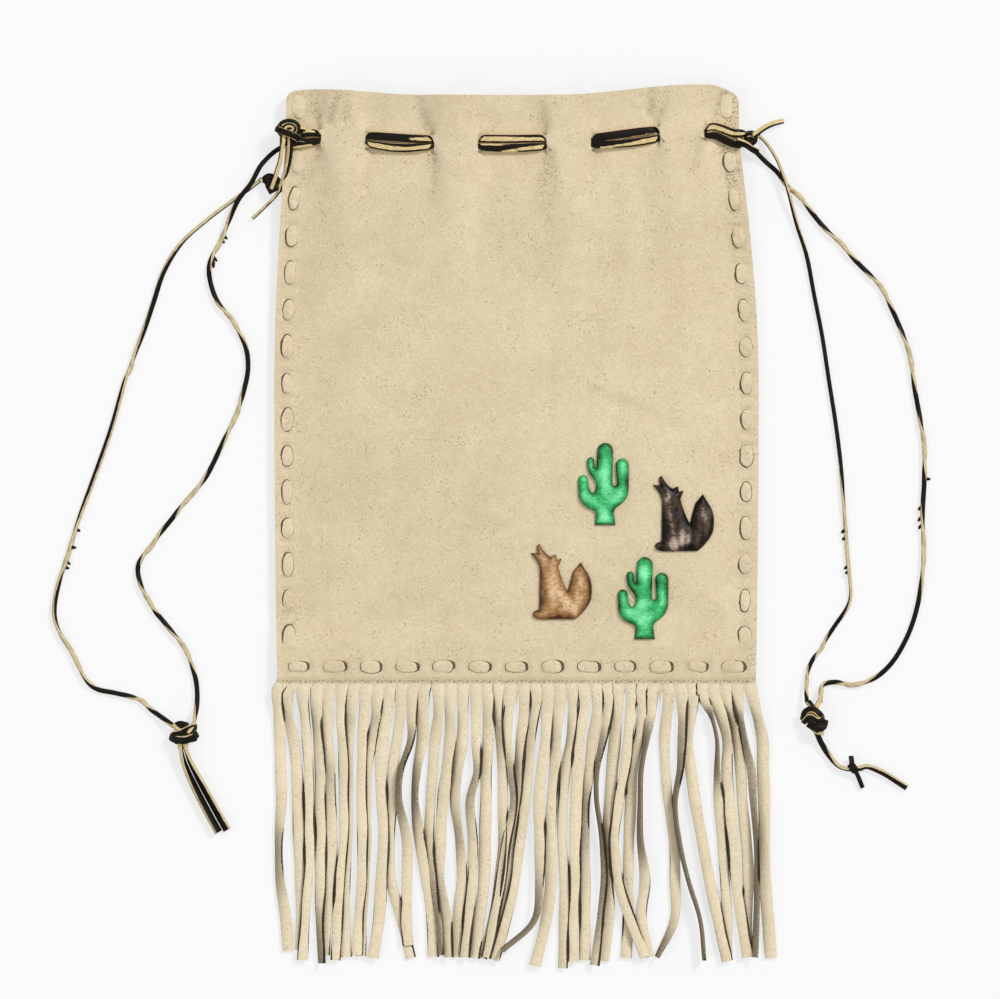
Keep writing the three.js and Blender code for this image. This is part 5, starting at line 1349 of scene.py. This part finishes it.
# The strands from left to right: places across at those drops and at the tip, the tip's drop, the level
# on which it lies, and its turn in degrees about its own line at the same drops
STRANDS = [
    ((-119.2, -118.8, -118.2, -117.8, -117.5, -118.8, -118.2, -115.2, -114.2), 134, 0,
     (10, 10, 0, 0, 10, 50, 45, 10, 0)),
    ((-114.2, -113.8, -111.5, -109.8, -109.2, -108.8, -107.8, -107.2, -107.8), 133.5, 0,
     (55, 40, 10, 0, 0, 0, 0, 0, 0)),
    ((-106.8, -105.8, -104.8, -103.8, -103.8, -103.2, -104.2, -105.8, -107), 138.5, 1,
     (40, 20, 0, 0, 0, 0, 0, 0, 0)),
    ((-99.8, -99.8, -98.8, -98.2, -98.2, -97.8, -97.8, -98.2, -97.2), 140, 0,
     (30, 35, 30, 10, 10, 0, 10, 45, 60)),
    ((-93.8, -94.2, -94.8, -93, -92.8, -92.2, -93.2, -95.2, -95.8), 136, 0,
     (0, 0, 0, 45, 20, 0, 0, 10, 10)),
    ((-87.2, -87.8, -86.8, -86.2, -86.2, -86.2, -88.2, -89.2, -90.5), 138.5, 1,
     (0, 0, 15, 10, 0, 0, 0, 0, 0)),
    ((-81.8, -82.8, -84.2, -84.8, -85, -85, -85.8, -86.2, -85.2), 137, 0,
     (30, 45, 20, 0, 0, 0, 0, 0, 0)),
    ((-75.2, -76.2, -76.8, -77.2, -77.2, -76.8, -77.2, -78.8, -79.5), 136, 1,
     (0, 0, 0, 0, 0, 0, 0, 0, 0)),
    ((-69.2, -70.2, -72.2, -74.8, -75.2, -75.2, -76.2, -77.2, -77.8), 136.5, 0,
     (40, 45, 20, 0, 0, 0, 0, 0, 0)),
    ((-63.2, -64.8, -66.8, -67.8, -67.2, -66.2, -67.5, -68.8, -71.8), 137.5, 1,
     (0, 0, 0, 0, 0, 0, 0, 0, 0)),
    ((-57.8, -58.2, -59.8, -61.8, -62.2, -63.2, -62.8, -57.2, -52.8), 137.5, 0,
     (0, 0, 0, 0, 10, 20, 0, 0, 0)),
    ((-51.8, -52.2, -52.8, -57.8, -58.8, -54.8, -54.8, -55.2, -54.2), 131, 1,
     (0, 20, 55, 70, 65, 20, 0, 0, 0)),
    ((-46.2, -46.8, -47.2, -49.8, -50.8, -48.2, -44.8, -42.2, -41.5), 137, 0,
     (0, 0, 10, 50, 65, 15, 0, 0, 0)),
    ((-38.8, -39.2, -40.8, -41.8, -43, -43.5, -41.5, -39.2, -37.8), 136, 0,
     (20, 45, 0, 0, 0, 30, 45, 60, 60)),
    ((-32.8, -33.2, -33.2, -34.8, -36.8, -38, -38.5, -34.8, -33.8), 137, 1,
     (10, 45, 10, 20, 10, 0, 45, 30, 30)),
    ((-26.8, -26.8, -27.2, -29.5, -30.8, -28.5, -27.2, -29.2, -29.8), 137, 0,
     (0, 0, 0, 40, 30, 50, 0, 0, 0)),
    ((-20.2, -20.2, -20.2, -19.5, -23.2, -21.8, -22.2, -24.2, -25.8), 137, 1,
     (0, 0, 0, 50, 45, 20, 10, 10, 20)),
    ((-14.2, -13.8, -14.2, -15.2, -15.2, -15.8, -16.2, -18.8, -21.2), 137.5, 0,
     (45, 30, 10, 0, 0, 0, 10, 10, 20)),
    ((-9.2, -9.2, -8.2, -6.8, -6.8, -6.8, -8.8, -11.8, -17.2), 137.5, 0,
     (20, 35, 50, 10, 0, 40, 40, 20, 20)),
    ((-3.2, -4.2, -5, -2.8, -1.2, -4.8, -7.8, -11.2, -15.2), 137, 1,
     (0, 0, 20, 45, 50, 20, 10, 20, 20)),
    ((4.2, 3.8, 2.5, 1.2, -0.2, -2.2, -4.8, -6.8, -11.2), 138, 0,
     (0, 0, 20, 40, 20, 0, 0, 0, 0)),
    ((9.8, 9.2, 7.2, 5.8, 4.2, 1.8, -0.8, -5.2, -11.2), 138.5, 1,
     (0, 30, 35, 20, 0, 0, 0, 0, 0)),
    ((15.8, 15.2, 14.8, 12.5, 11.2, 11.8, 11.5, 8.8, -7.2), 133.5, 2,
     (0, 0, 0, 0, 0, 10, 40, 65, 75)),
    ((22.2, 20.8, 19.8, 19.2, 17.8, 16.8, 17.2, 14.8, 9.2), 141.5, 1,
     (10, 20, 40, 10, 0, 0, 0, 0, 0)),
    ((27.8, 28.2, 27.2, 24.5, 23.2, 22.8, 24.2, 23.8, 23.2), 142.5, 0,
     (0, 10, 40, 0, 0, 0, 0, 15, 20)),
    ((33.8, 33.2, 31.2, 30.5, 29.8, 29.2, 29.2, 28.8, 28.2), 139.5, 1,
     (0, 0, 0, 0, 0, 0, 0, 0, 0)),
    ((40.2, 40.2, 37.8, 36.5, 34.8, 34.2, 34.5, 34.2, 34.2), 138.5, 0,
     (10, 20, 10, 20, 55, 45, 20, 0, 0)),
    ((45.8, 45.8, 43.2, 40.2, 40, 43, 43.8, 41.8, 39.2), 141, 1,
     (0, 20, 50, 70, 75, 65, 55, 50, 30)),
    ((50.8, 49.8, 49.2, 47.8, 46.8, 44.8, 45.8, 45.8, 43.2), 139, 0,
     (20, 10, 0, 0, 10, 55, 45, 0, 0)),
    ((57.8, 56.8, 55.8, 54.2, 51.2, 48.8, 50.8, 57.2, 64.2), 137, 2,
     (0, 0, 0, 0, 0, 10, 10, 0, 0)),
    ((62.2, 62.8, 60.8, 57.8, 57.2, 56.2, 55.8, 55.8, 54.8), 137.5, 0,
     (20, 10, 0, 0, 0, 0, 0, 0, 0)),
    ((67.8, 66.8, 64.8, 62.2, 61.8, 61.8, 64.2, 62.2, 65.8), 137, 1,
     (10, 30, 70, 75, 75, 70, 20, 0, 0)),
    ((76.2, 75.2, 74, 74.5, 75.8, 78.8, 79.2, 78.8, 70.2), 137, 0,
     (0, 0, 0, 0, 0, 0, 0, 30, 75)),
    ((82.2, 83.2, 82.8, 81.8, 79.2, 81.2, 85.8, 91.8, 93.8), 138.5, 1,
     (20, 40, 45, 60, 75, 75, 80, 80, 80)),
    ((88.8, 87.2, 85.2, 87.2, 89.2, 92.8, 96.5, 101, 105.5), 139, 1,
     (10, 20, 0, 0, 0, 0, 0, 0, 0)),
    ((92.2, 97.2, 100.2, 100.2, 101.2, 102.8, 104.2, 105.2, 105.2), 136, 0,
     (60, 80, 80, 70, 10, 0, 0, 0, 0)),
    ((98.2, 102.2, 105.2, 105.2, 106.2, 108.2, 109.8, 112.8, 115.8), 137, 1,
     (20, 30, 45, 10, 0, 0, 0, 0, 0)),
    ((104.8, 107.2, 110.2, 112, 112.8, 114.8, 116, 115.2, 115.8), 137, 0,
     (55, 55, 30, 10, 0, 0, 0, 0, 0)),
    ((110.2, 111.5, 113.8, 117.2, 118.2, 119.8, 120.2, 119.8, 119.2), 137, 1,
     (40, 60, 65, 40, 55, 70, 70, 65, 60)),
    ((117.2, 120.2, 123, 123.2, 123.8, 123.8, 124.2, 125.8, 127.2), 137.5, 0,
     (30, 45, 10, 0, 0, 30, 0, 0, 0)),
]


def fall(y):
    """0 at the seam, 1 where the fringe has come down to the table."""
    return smooth((BOTTOM - FALL_START - y) / FALL_LENGTH)


def strand_line(index):
    """Points down a strand, with its turn in radians and half the width that shows from above."""
    places, tip, level, turns = STRANDS[index]
    root = mix(-FRINGE_SPAN, FRINGE_SPAN, index / (len(STRANDS) - 1))
    heights = [BOTTOM - drop for drop in STRAND_DROPS + [tip]]
    line = [(root, BOTTOM + 1.5, 0.0), (0.5 * (root + places[0]), BOTTOM - 1.5, 0.0)]
    line += [(x, y, 0.0) for x, y in zip(places, heights)]
    path = curve_through(line, STRAND_STEP)
    turn = np.radians(np.interp(-path[:, 1], [-BOTTOM] + [-y for y in heights], [0.0] + list(turns)))
    turn = smoothed(turn, 2) * smooth((BOTTOM - 5.0 - path[:, 1]) / 14.0)
    lying = TABLE_CLEAR + STRAND_WIDTH / 2 * np.abs(np.sin(turn)) + SUEDE / 2 * np.cos(turn)
    lying = lying + LEVEL_STEP * level * smooth((BOTTOM - 8.0 - path[:, 1]) / 16.0)
    path[:, 2] = mix(HEADER_FLOOR + SUEDE / 2, lying, fall(path[:, 1]))
    return path, turn, STRAND_WIDTH / 2 * np.abs(np.cos(turn))


def strand_edge_shadow(lines, index, other):
    """Painted shadow, 0 to 1, along this strand's edge where the neighbour lies close, and in stretches."""
    path, _, half = lines[index]
    if not 0 <= other < len(lines):
        return np.zeros(len(path))
    beside, _, beside_half = lines[other]
    x = np.interp(-path[:, 1], -beside[:, 1], beside[:, 0])
    shown = np.interp(-path[:, 1], -beside[:, 1], beside_half)
    gap = np.abs(path[:, 0] - x) - half - shown
    uneven = 0.78 + 0.22 * np.sin(path[:, 1] / 5.0 + 2.1 * index + other)
    alone = 0.7 * smooth(2.0 * np.sin(path[:, 1] / 17.0 + 1.7 * index + 2.6 * other) - 1.3)
    return np.maximum(smooth((0.6 - gap) / 0.8), alone) * uneven


def fringe_tree():
    """Gives each line a flat section that is turned and sized by the line's own points."""
    tree, given, sockets = geometry_tree("cut strands", [
        ("Width", "NodeSocketFloat", STRAND_WIDTH * MM), ("Thickness", "NodeSocketFloat", STRAND_THICK * MM),
        ("Bevel", "NodeSocketFloat", STRAND_BEVEL * MM), ("Finish", "NodeSocketMaterial", None)])
    lines = node(tree, "GeometryNodeMeshToCurve", Mesh=given["Geometry"])
    level = node(tree, "GeometryNodeSetCurveNormal", mode="Z_UP", Curve=lines.outputs["Curve"])
    turned = node(tree, "GeometryNodeSetCurveTilt", Curve=level.outputs["Curve"],
                  Tilt=named_value(tree, "turn"))
    shape = node(tree, "GeometryNodeCurvePrimitiveQuadrilateral", Width=given["Width"],
                 Height=given["Thickness"])
    bevelled = node(tree, "GeometryNodeFilletCurve", Curve=shape.outputs["Curve"], Radius=given["Bevel"])
    place = node(tree, "GeometryNodeInputPosition").outputs["Position"]
    split = node(tree, "ShaderNodeSeparateXYZ", Vector=place)
    across_share = maths(tree, "DIVIDE", split.outputs["X"], maths(tree, "MULTIPLY", given["Width"], 0.5))
    section = node(tree, "GeometryNodeStoreNamedAttribute", data_type="FLOAT", domain="POINT", Name="across",
                   Geometry=bevelled.outputs["Curve"], Value=across_share)
    solid = node(tree, "GeometryNodeCurveToMesh", Curve=turned.outputs["Curve"], Fill_Caps=True,
                 Profile_Curve=section.outputs["Geometry"], Scale=named_value(tree, "girth"))
    real = node(tree, "GeometryNodeRealizeInstances", Geometry=solid.outputs["Mesh"])
    end_tree(tree, real.outputs["Geometry"], given["Finish"])
    return tree, sockets


def fringe():
    lines = [strand_line(k) for k in range(len(STRANDS))]
    points, edges, values = [], [], {"turn": [], "girth": [], "grey": [], "left_dark": [], "right_dark": []}
    for k, (path, turn, _) in enumerate(lines):
        first = len(points)
        points += (path * MM).tolist()
        edges += [(first + i, first + i + 1) for i in range(len(path) - 1)]
        y = path[:, 1]
        wide = 1 + 0.07 * np.sin(2.3 * k) + 0.05 * np.sin(y / 11.0 + 1.3 * k) + 0.03 * np.sin(y / 4.0 + k)
        values["turn"] += turn.tolist()
        values["girth"] += mix(ROOT_GIRTH, wide, smooth((BOTTOM - 3.0 - y) / 9.0)).tolist()
        # painted shade where a strand turns on edge, and painted shadow lines along its edges
        values["grey"] += np.clip((np.abs(np.sin(turn)) - 0.35) * 1.6, 0, 1).tolist()
        values["left_dark"] += strand_edge_shadow(lines, k, k - 1).tolist()
        values["right_dark"] += strand_edge_shadow(lines, k, k + 1).tolist()
    mesh = bpy.data.meshes.new("strand lines")
    mesh.from_pydata(points, edges, [])
    for label, numbers in values.items():
        set_values(mesh, label, numbers)
    piece = grown("cut_fringe", mesh, *fringe_tree(), {"Finish": FRINGE_SUEDE})
    return finish_piece(piece, None, "suede", "fringe_strip")


def fringe_header():
    """The uncut strip in the bottom seam; a web reaches down between strands where a cut stops short."""
    pitch = 2 * FRINGE_SPAN / (len(STRANDS) - 1)
    xs = np.linspace(-FRINGE_HALF, FRINGE_HALF, COLUMNS_PER_STRAND * len(STRANDS) + 1)
    cut = (xs + FRINGE_SPAN) / pitch - 0.5
    nearest = np.round(cut)
    depth = WEB_LEAST + WEB_MORE * (0.5 + 0.5 * np.sin(nearest * 12.9898)) ** 1.6
    inner = (nearest >= 0) & (nearest <= len(STRANDS) - 2)
    web = np.where(inner, depth * smooth(1 - np.abs(cut - nearest) * pitch / WEB_HALF), 0.0)
    low = BOTTOM - 1.6 - 0.35 * np.sin(xs * 0.9) - web
    down = np.array([0, 0.4, 0.62, 0.72, 0.8, 0.87, 0.93, 1.0])[:, None]
    x = np.repeat(xs[None], len(down), axis=0)
    y = mix(BAND_TOP, low[None], down)
    upper = np.stack([x, y, mix(HEADER_FLOOR, TABLE_CLEAR, fall(y)) + SUEDE], 2).reshape(-1, 3)
    lower = upper - SUEDE * UP
    faces = closed_shell(grid_faces(len(down), len(xs)), len(upper))
    piece = add_object("fringe_header", np.vstack([upper, lower]), faces)
    piece.data.set_sharp_from_angle(angle=SHARP_EDGE)
    return finish_piece(piece, HEADER_SUEDE, "suede")


header_piece = fringe_header()
fringe()


# Padded motifs: the gap under a pad, its edge, the swell of its middle and the depth of its dents, then
# the steps of the points that fill its outline, and how far from the outline they stay
PAD_GAP, PAD_EDGE, PAD_SWELL, PAD_DENT = 0.15, 0.5, 2.3, 0.2
FILL_STEP, FILL_ROW, FILL_CLEAR = 0.75, 0.65, 0.4
# Steps along an outline: the usual one, and the least
OUTLINE_STEP, OUTLINE_LEAST = 0.8, 0.15


def outline(steps):
    """Points of an outline from lines (x, y), bends (cx, cy, x, y) and arcs (cx, cy, r, from, to)."""
    points = []
    for step in steps:
        if len(step) == 2:
            points.append(step)
        elif len(step) == 4:
            x0, y0 = points[-1]
            cx, cy, x1, y1 = step
            for t in np.linspace(0, 1, 7)[1:]:
                points.append(((1 - t) ** 2 * x0 + 2 * t * (1 - t) * cx + t * t * x1,
                               (1 - t) ** 2 * y0 + 2 * t * (1 - t) * cy + t * t * y1))
        else:
            cx, cy, r, a0, a1 = step
            points += [(cx + r * math.cos(a), cy + r * math.sin(a)) for a in np.linspace(a0, a1, 10)]
    dense = []
    for (x0, y0), (x1, y1) in zip(points, points[1:] + points[:1]):
        count = max(1, int(math.hypot(x1 - x0, y1 - y0) / OUTLINE_STEP))
        dense += [(mix(x0, x1, k / count), mix(y0, y1, k / count)) for k in range(count)]
    kept = [dense[0]]
    for point in dense[1:]:
        if math.hypot(point[0] - kept[-1][0], point[1] - kept[-1][1]) > OUTLINE_LEAST:
            kept.append(point)
    return np.array(kept)


CACTUS = outline([
    (-5.1, 0), (5.1, 0), (4.3, 6), (4.4, 8.2, 7.4, 10), (11.8, 12.8, 11.8, 19), (11.8, 29.9),
    (8.5, 29.9, 3.3, 0, math.pi), (5.9, 20.6), (5, 18.2, 3.6, 20.6), (4, 37), (0, 37, 4, 0, math.pi),
    (-4.3, 28.6), (-5.2, 28.6), (-5.5, 32), (-7.3, 32, 1.8, 0, math.pi), (-9.4, 26.8, -6.2, 23.6),
    (-4.4, 21.6, -4.5, 18.6), (-6.2, 13.6, -8, 18.4), (-8.5, 22.4), (-11, 22.4, 2.5, 0, math.pi),
    (-13.2, 14.6), (-12.2, 9.4, -7, 7.8), (-4.6, 7, -4.6, 5),
])
COYOTE = outline([
    (-9.4, 0.2), (7.4, 0.4), (13, 4.6, 15.2, 10.3), (16.8, 19, 12.8, 24.3), (10, 28.8), (6.4, 24.6),
    (4.6, 19.4, 3.6, 13.8), (0.6, 19.4, -1.2, 26.4), (0.4, 30.6), (-1.9, 30), (-2.5, 32.7), (-5.2, 31.6),
    (-8.4, 33.4, -10.6, 38.1), (-12, 37), (-11.4, 33.2), (-15, 33.4), (-11, 29.4, -10.4, 25.2), (-10.7, 5),
    (-14.2, 4.8, -13.9, 2.6), (-13.2, 0.4, -9.4, 0.2),
])


def inside(points, polygon):
    x, y = points[:, 0][:, None], points[:, 1][:, None]
    x0, y0 = polygon[:, 0][None], polygon[:, 1][None]
    x1, y1 = np.roll(polygon[:, 0], -1)[None], np.roll(polygon[:, 1], -1)[None]
    crosses = ((y0 > y) != (y1 > y)) & (x < (x1 - x0) * (y - y0) / np.where(y1 == y0, 1e-9, y1 - y0) + x0)
    return crosses.sum(1) % 2 == 1


def edge_distance(points, polygon):
    a, b = polygon[None], np.roll(polygon, -1, axis=0)[None]
    p = points[:, None]
    run = b - a
    t = np.clip(((p - a) * run).sum(2) / np.maximum((run * run).sum(2), 1e-9), 0, 1)
    return np.linalg.norm(p - a - t[..., None] * run, axis=2).min(1)


def motif(name, polygon, from_right, from_bottom, material, slot, node_name, plump):
    """A sewn pad on the front panel that swells from its outline and is full at plump from it."""
    low, high = polygon.min(0), polygon.max(0)
    gx, gy = np.meshgrid(np.arange(low[0], high[0], FILL_STEP), np.arange(low[1], high[1], FILL_ROW))
    gx[1::2] += FILL_STEP / 2
    fill = np.stack([gx.ravel(), gy.ravel()], 1)
    fill = fill[inside(fill, polygon)]
    fill = fill[edge_distance(fill, polygon) > FILL_CLEAR]
    flat = np.vstack([polygon, fill])
    ring = [(k, (k + 1) % len(polygon)) for k in range(len(polygon))]
    made = geometry.delaunay_2d_cdt([Vector(p) for p in flat], ring, [list(range(len(polygon)))], 1, 1e-4)
    points = np.array([tuple(v) for v in made[0]])
    distance = edge_distance(points, polygon)
    puff = np.sqrt(np.clip(1 - (1 - np.clip(distance / plump, 0, 1)) ** 2, 0, 1))
    x = PANEL_WIDTH / 2 - from_right + points[:, 0]
    y = BOTTOM + from_bottom + points[:, 1]
    base = front_top(x, y) + PAD_GAP
    dent = PAD_DENT * np.sin(points[:, 0] * 0.9 + 1.0) * np.sin(points[:, 1] * 0.7)
    upper = np.stack([x, y, base + PAD_EDGE + (PAD_SWELL + dent) * puff], 1)
    lower = np.stack([x, y, base], 1)
    faces = []
    for face in made[2]:
        a, b, c = (points[i] for i in face[:3])
        turn = (b[0] - a[0]) * (c[1] - a[1]) - (b[1] - a[1]) * (c[0] - a[0])
        faces.append(tuple(face) if turn > 0 else tuple(reversed(face)))
    shell = closed_shell(faces, len(points))
    # ridge leads the satin's painted shade by the sewn edge and painted highlight on the swell
    ridge = np.clip(distance / (plump * 0.95), 0, 1)
    ridge = np.concatenate([ridge, 0 * ridge])
    piece = add_object(name, np.vstack([upper, lower]), shell, None, {"ridge": ridge})
    finish_piece(piece, material, slot, node_name)


motif("upper_cactus", CACTUS, 76.8, 79.0, SATIN_GREEN, "satin_green", "upper_cactus_applique", 3.6)
motif("lower_cactus", CACTUS, 57.0, 22.0, SATIN_GREEN, "satin_green", "lower_cactus_applique", 3.6)
motif("dark_coyote", COYOTE, 38.0, 65.6, SATIN_BROWN, "satin_brown", "dark_coyote_applique", 5.0)
motif("gold_coyote", COYOTE, 99.0, 31.6, SATIN_GOLD, "satin_gold", "gold_coyote_applique", 5.0)


# Floor and light, in metres
TABLE_HALF, TABLE_DROP, TABLE_GLOW = 4.0, 0.0003, 0.7
LIT_PLACE = (0, -0.05, 0)


def make_floor():
    material, tree, shader = node_material("pale table")
    shader.inputs["Base Color"].default_value = (0.24, 0.24, 0.24, 1.0)
    shader.inputs["Roughness"].default_value = 0.9
    shader.inputs["Specular IOR Level"].default_value = 0.0
    rays = tree.nodes.new("ShaderNodeLightPath")
    seen = maths(tree, "MAXIMUM", rays.outputs["Is Camera Ray"], rays.outputs["Is Glossy Ray"])
    seen = maths(tree, "MAXIMUM", seen, rays.outputs["Is Transmission Ray"])
    shader.inputs["Emission Color"].default_value = (1.0, 1.0, 1.0, 1.0)
    tree.links.new(maths(tree, "MULTIPLY", seen, TABLE_GLOW), shader.inputs["Emission Strength"])
    mesh = bpy.data.meshes.new("table")
    corners = [(-1, -1), (1, -1), (1, 1), (-1, 1)]
    points = [(x * TABLE_HALF, y * TABLE_HALF, -TABLE_DROP) for x, y in corners]
    mesh.from_pydata(points, [], [(0, 1, 2, 3)])
    mesh.materials.append(material)
    linked(bpy.data.objects.new("table", mesh))


def area_light(name, place, target, size, watts):
    data = bpy.data.lights.new(name, "AREA")
    data.shape = "DISK"
    data.size = size
    data.energy = watts
    lamp = linked(bpy.data.objects.new(name, data))
    lamp.location = place
    lamp.rotation_euler = (Vector(target) - Vector(place)).to_track_quat("-Z", "Y").to_euler()


make_floor()
area_light("key light", (6.0, 5.65, 7.6), LIT_PLACE, 2.6, 850)
area_light("fill light", (-2.4, -1.2, 2.8), LIT_PLACE, 2.2, 30)
world = bpy.data.worlds.new("studio")
world.use_nodes = True
world.node_tree.nodes["Background"].inputs["Color"].default_value = (1.0, 1.0, 1.0, 1.0)
world.node_tree.nodes["Background"].inputs["Strength"].default_value = 0.5
bpy.context.scene.world = world
bpy.context.scene.view_settings.view_transform = "Standard"
